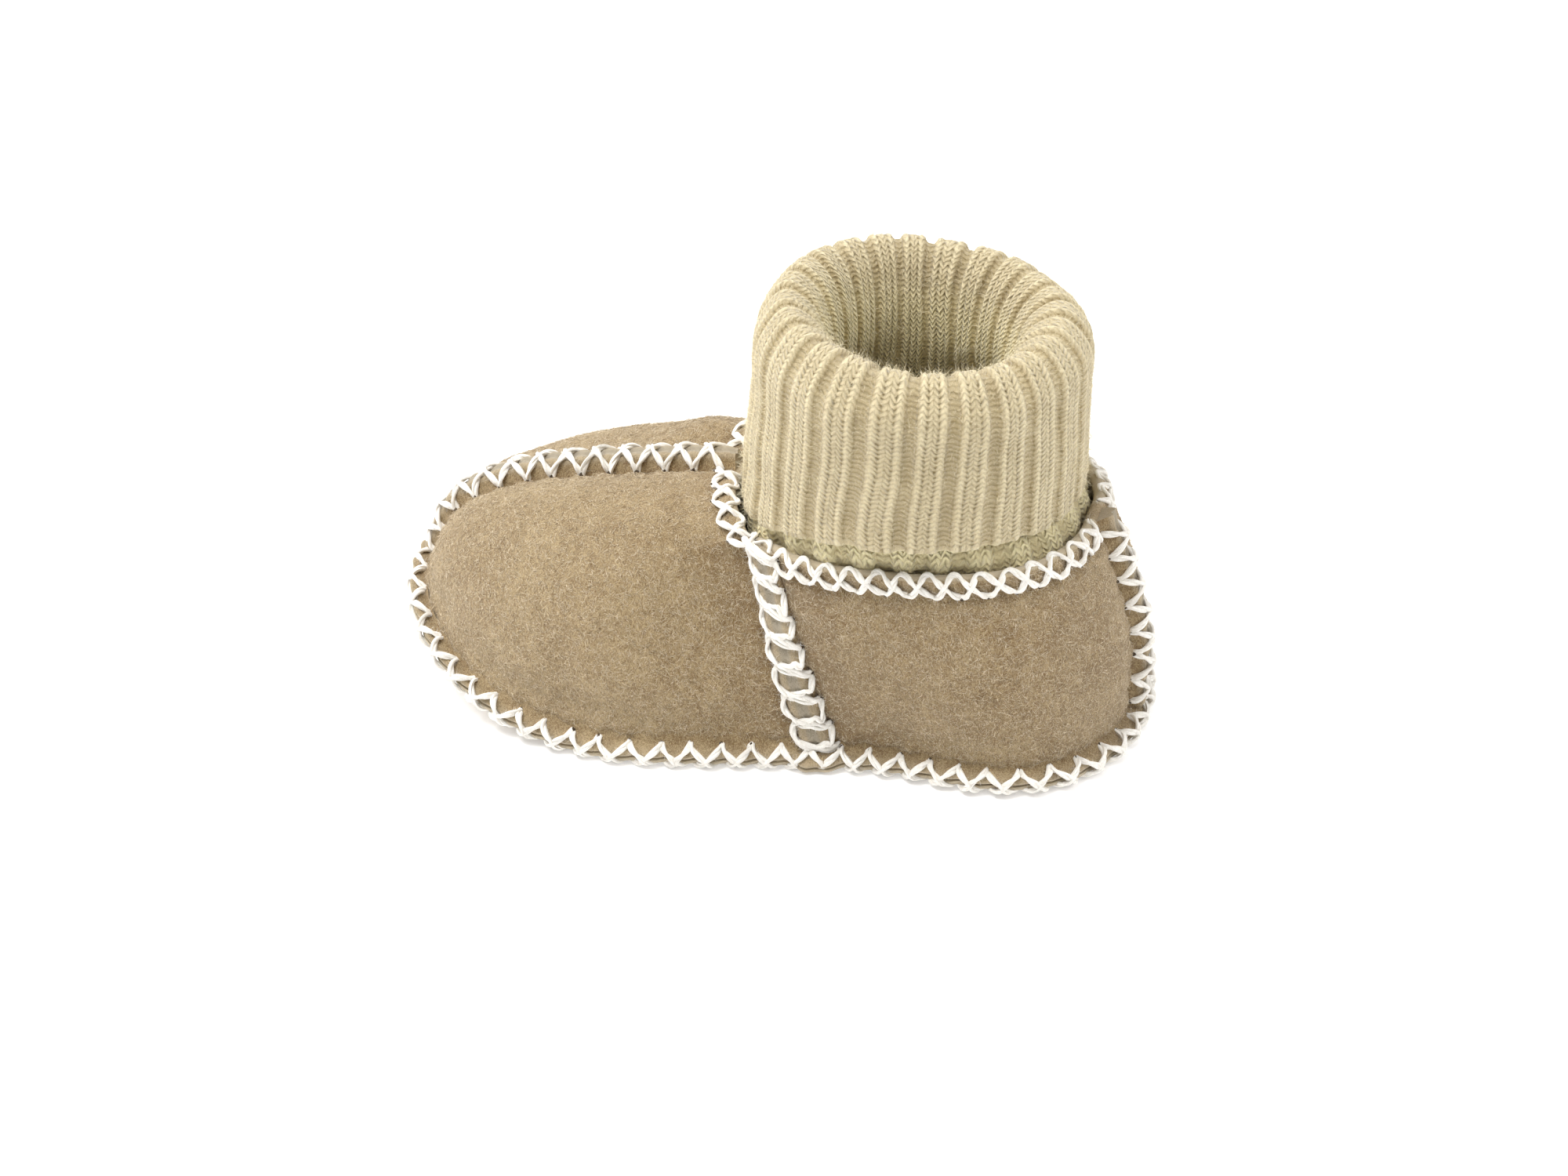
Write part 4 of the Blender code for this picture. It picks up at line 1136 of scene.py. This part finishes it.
def scattered(points, outward, count, reach=None):
    """Random places on a grid of points, evenly by area, with their outward and sideways directions."""
    a, b = points[1:, :-1] - points[:-1, :-1], points[:-1, 1:] - points[:-1, :-1]
    areas = np.linalg.norm(np.cross(a, b), axis=2)
    if reach is not None:
        areas = areas * reach[:-1, :-1]
    chosen = rng.choice(areas.size, count, p=areas.ravel() / areas.sum())
    i, j = np.unravel_index(chosen, areas.shape)
    s, t = rng.uniform(size=(2, count, 1))
    return points[i, j] + a[i, j] * s + b[i, j] * t, outward[i, j], unit(b[i, j]), unit(a[i, j])


parts = []
for (name, _), (points, outward, _) in walls.items():
    roots, out, up, sideways = scattered(points, outward, VAMP_HAIRS if name == "vamp" else QUARTER_HAIRS)
    angle = rng.uniform(0, 2 * math.pi, (len(roots), 1))
    flat = up * np.cos(angle) + sideways * np.sin(angle)
    leaning = flat + out * rng.uniform(0.10, 0.30, (len(roots), 1))
    parts.append((roots, leaning, rng.uniform(0.0006, 0.0015, len(roots))))
hairs("suede_nap", parts, 0.000075, 0.5, threads("nap", (150, 127, 92), (248, 234, 206)))

parts = []
for name in ("left", "right"):
    seam = seams[name]
    s = rng.uniform(0, along(seam.middle)[-1], SEAM_HAIRS)
    a = rng.normal(0, 0.22, SEAM_HAIRS) * seam.half
    leaning = beside(seam, s, a, 0.001) - beside(seam, s, 0, 0) + rng.normal(0, 0.0006, (SEAM_HAIRS, 3))
    roots = beside(seam, s, a, seam.height * 0.45)
    parts.append((roots, leaning, rng.uniform(0.0006, 0.0014, SEAM_HAIRS)))
hairs("seam_wool", parts, 0.00006, 0.9, threads("seam_wool", (120, 110, 92), (196, 184, 160)))

ones = np.ones((len(middle), 1))
parts = [scattered(face, -across, CUFF_HAIRS, ones * (0.15 + smoothstep((level - 0.3) / 0.2))),
         scattered(back_face, across[:, picked], CUFF_BACK_HAIRS, ones * (0.02 + (back_rows < 0.30)))]
roots, out = np.vstack([part[0] for part in parts]), np.vstack([part[1] for part in parts])
directions = out * rng.uniform(0.15, 0.9, (len(roots), 1)) + rng.normal(0, 0.45, (len(roots), 3))
parts = [(roots, directions, rng.uniform(0.0006, 0.0018, len(roots)))]
fuzz_looks = threads("knit_fuzz", (216, 200, 156), (255, 248, 224))
hairs("knit_fuzz", parts, 0.000048, 0.9, fuzz_looks)

roots = np.vstack([line[rng.integers(0, len(line), len(line) * 2)] for line in sewn_lines])
directions = rng.normal(0, 1, (len(roots), 3))
roots = roots + unit(directions) * YARN * 0.7
parts = [(roots, directions, rng.uniform(0.0004, 0.0010, len(roots)))]
hairs("yarn_fuzz", parts, 0.00004, 0.9, yarn_looks)

# Lights, floor and camera
looks = Looks("floor", 0.9, 0.0)
fill(looks.shader, Base_Color=(0.93, 0.93, 0.93, 1), Emission_Color=(1, 1, 1, 1), Emission_Strength=0.30)
mesh = bpy.data.meshes.new("floor")
mesh.from_pydata([(-4, -4, 0), (4, -4, 0), (4, 4, 0), (-4, 4, 0)], [], [(0, 1, 2, 3)])
mesh.materials.append(looks.material)
floor = bpy.data.objects.new("floor", mesh)
bpy.context.scene.collection.objects.link(floor)

world = bpy.data.worlds.new("studio")
bpy.context.scene.world = world
world.use_nodes = True
background = world.node_tree.nodes["Background"]
background.inputs[0].default_value = (1, 1, 1, 1)
direction = world.node_tree.nodes.new("ShaderNodeSeparateXYZ")
world.node_tree.links.new(world.node_tree.nodes.new("ShaderNodeTexCoord").outputs["Generated"],
                          direction.inputs[0])
upward = Wire(world.node_tree, direction.outputs[2]).node("MAXIMUM", 0.0)
world.node_tree.links.new((upward * upward * 0.95 + 0.06).socket, background.inputs[1])


def area_light(name, place, size, power):
    lamp = bpy.data.lights.new(name, "AREA")
    lamp.shape, lamp.size, lamp.energy = "DISK", size, power
    thing = bpy.data.objects.new(name, lamp)
    thing.location = place
    thing.rotation_euler = (LIT_PLACE - Vector(place)).to_track_quat("-Z", "Y").to_euler()
    bpy.context.scene.collection.objects.link(thing)


LIT_PLACE = Vector((0, 0, 0.03))
area_light("key", (0.34, 0.26, 1.30), 0.8, 14.6)
area_light("left", (1.1, -0.15, 0.75), 0.6, 10.0)
area_light("right", (-1.1, -0.20, 0.7), 0.6, 7.0)

CAMERA_TURN, CAMERA_RISE, CAMERA_ROLL = math.radians(16.0), math.radians(32.2), math.radians(-1.2)
CAMERA_DISTANCE, CAMERA_SHIFT, SENSOR = 0.741, (0.0045, -0.0582), 36.0
FOCAL_PIXELS, PHOTO_PIXELS = 5721, 2000  # the lens that fits the photo, and the photo's width
level_share = math.cos(CAMERA_RISE)
towards = Vector((-math.sin(CAMERA_TURN) * level_share, math.cos(CAMERA_TURN) * level_share,
                  math.sin(CAMERA_RISE)))
camera = bpy.data.cameras.new("camera")
camera.sensor_width, camera.lens = SENSOR, FOCAL_PIXELS / PHOTO_PIXELS * SENSOR
camera.shift_x, camera.shift_y = CAMERA_SHIFT
eye = bpy.data.objects.new("camera", camera)
eye.location = Vector((0, 0, 0.035)) + towards * CAMERA_DISTANCE
eye.rotation_mode = "QUATERNION"
eye.rotation_quaternion = (-towards).to_track_quat("-Z", "Y")
eye.rotation_quaternion.rotate(Matrix.Rotation(CAMERA_ROLL, 3, towards).to_quaternion())
bpy.context.scene.collection.objects.link(eye)
bpy.context.scene.camera = eye
bpy.context.scene.view_settings.view_transform = "Standard"
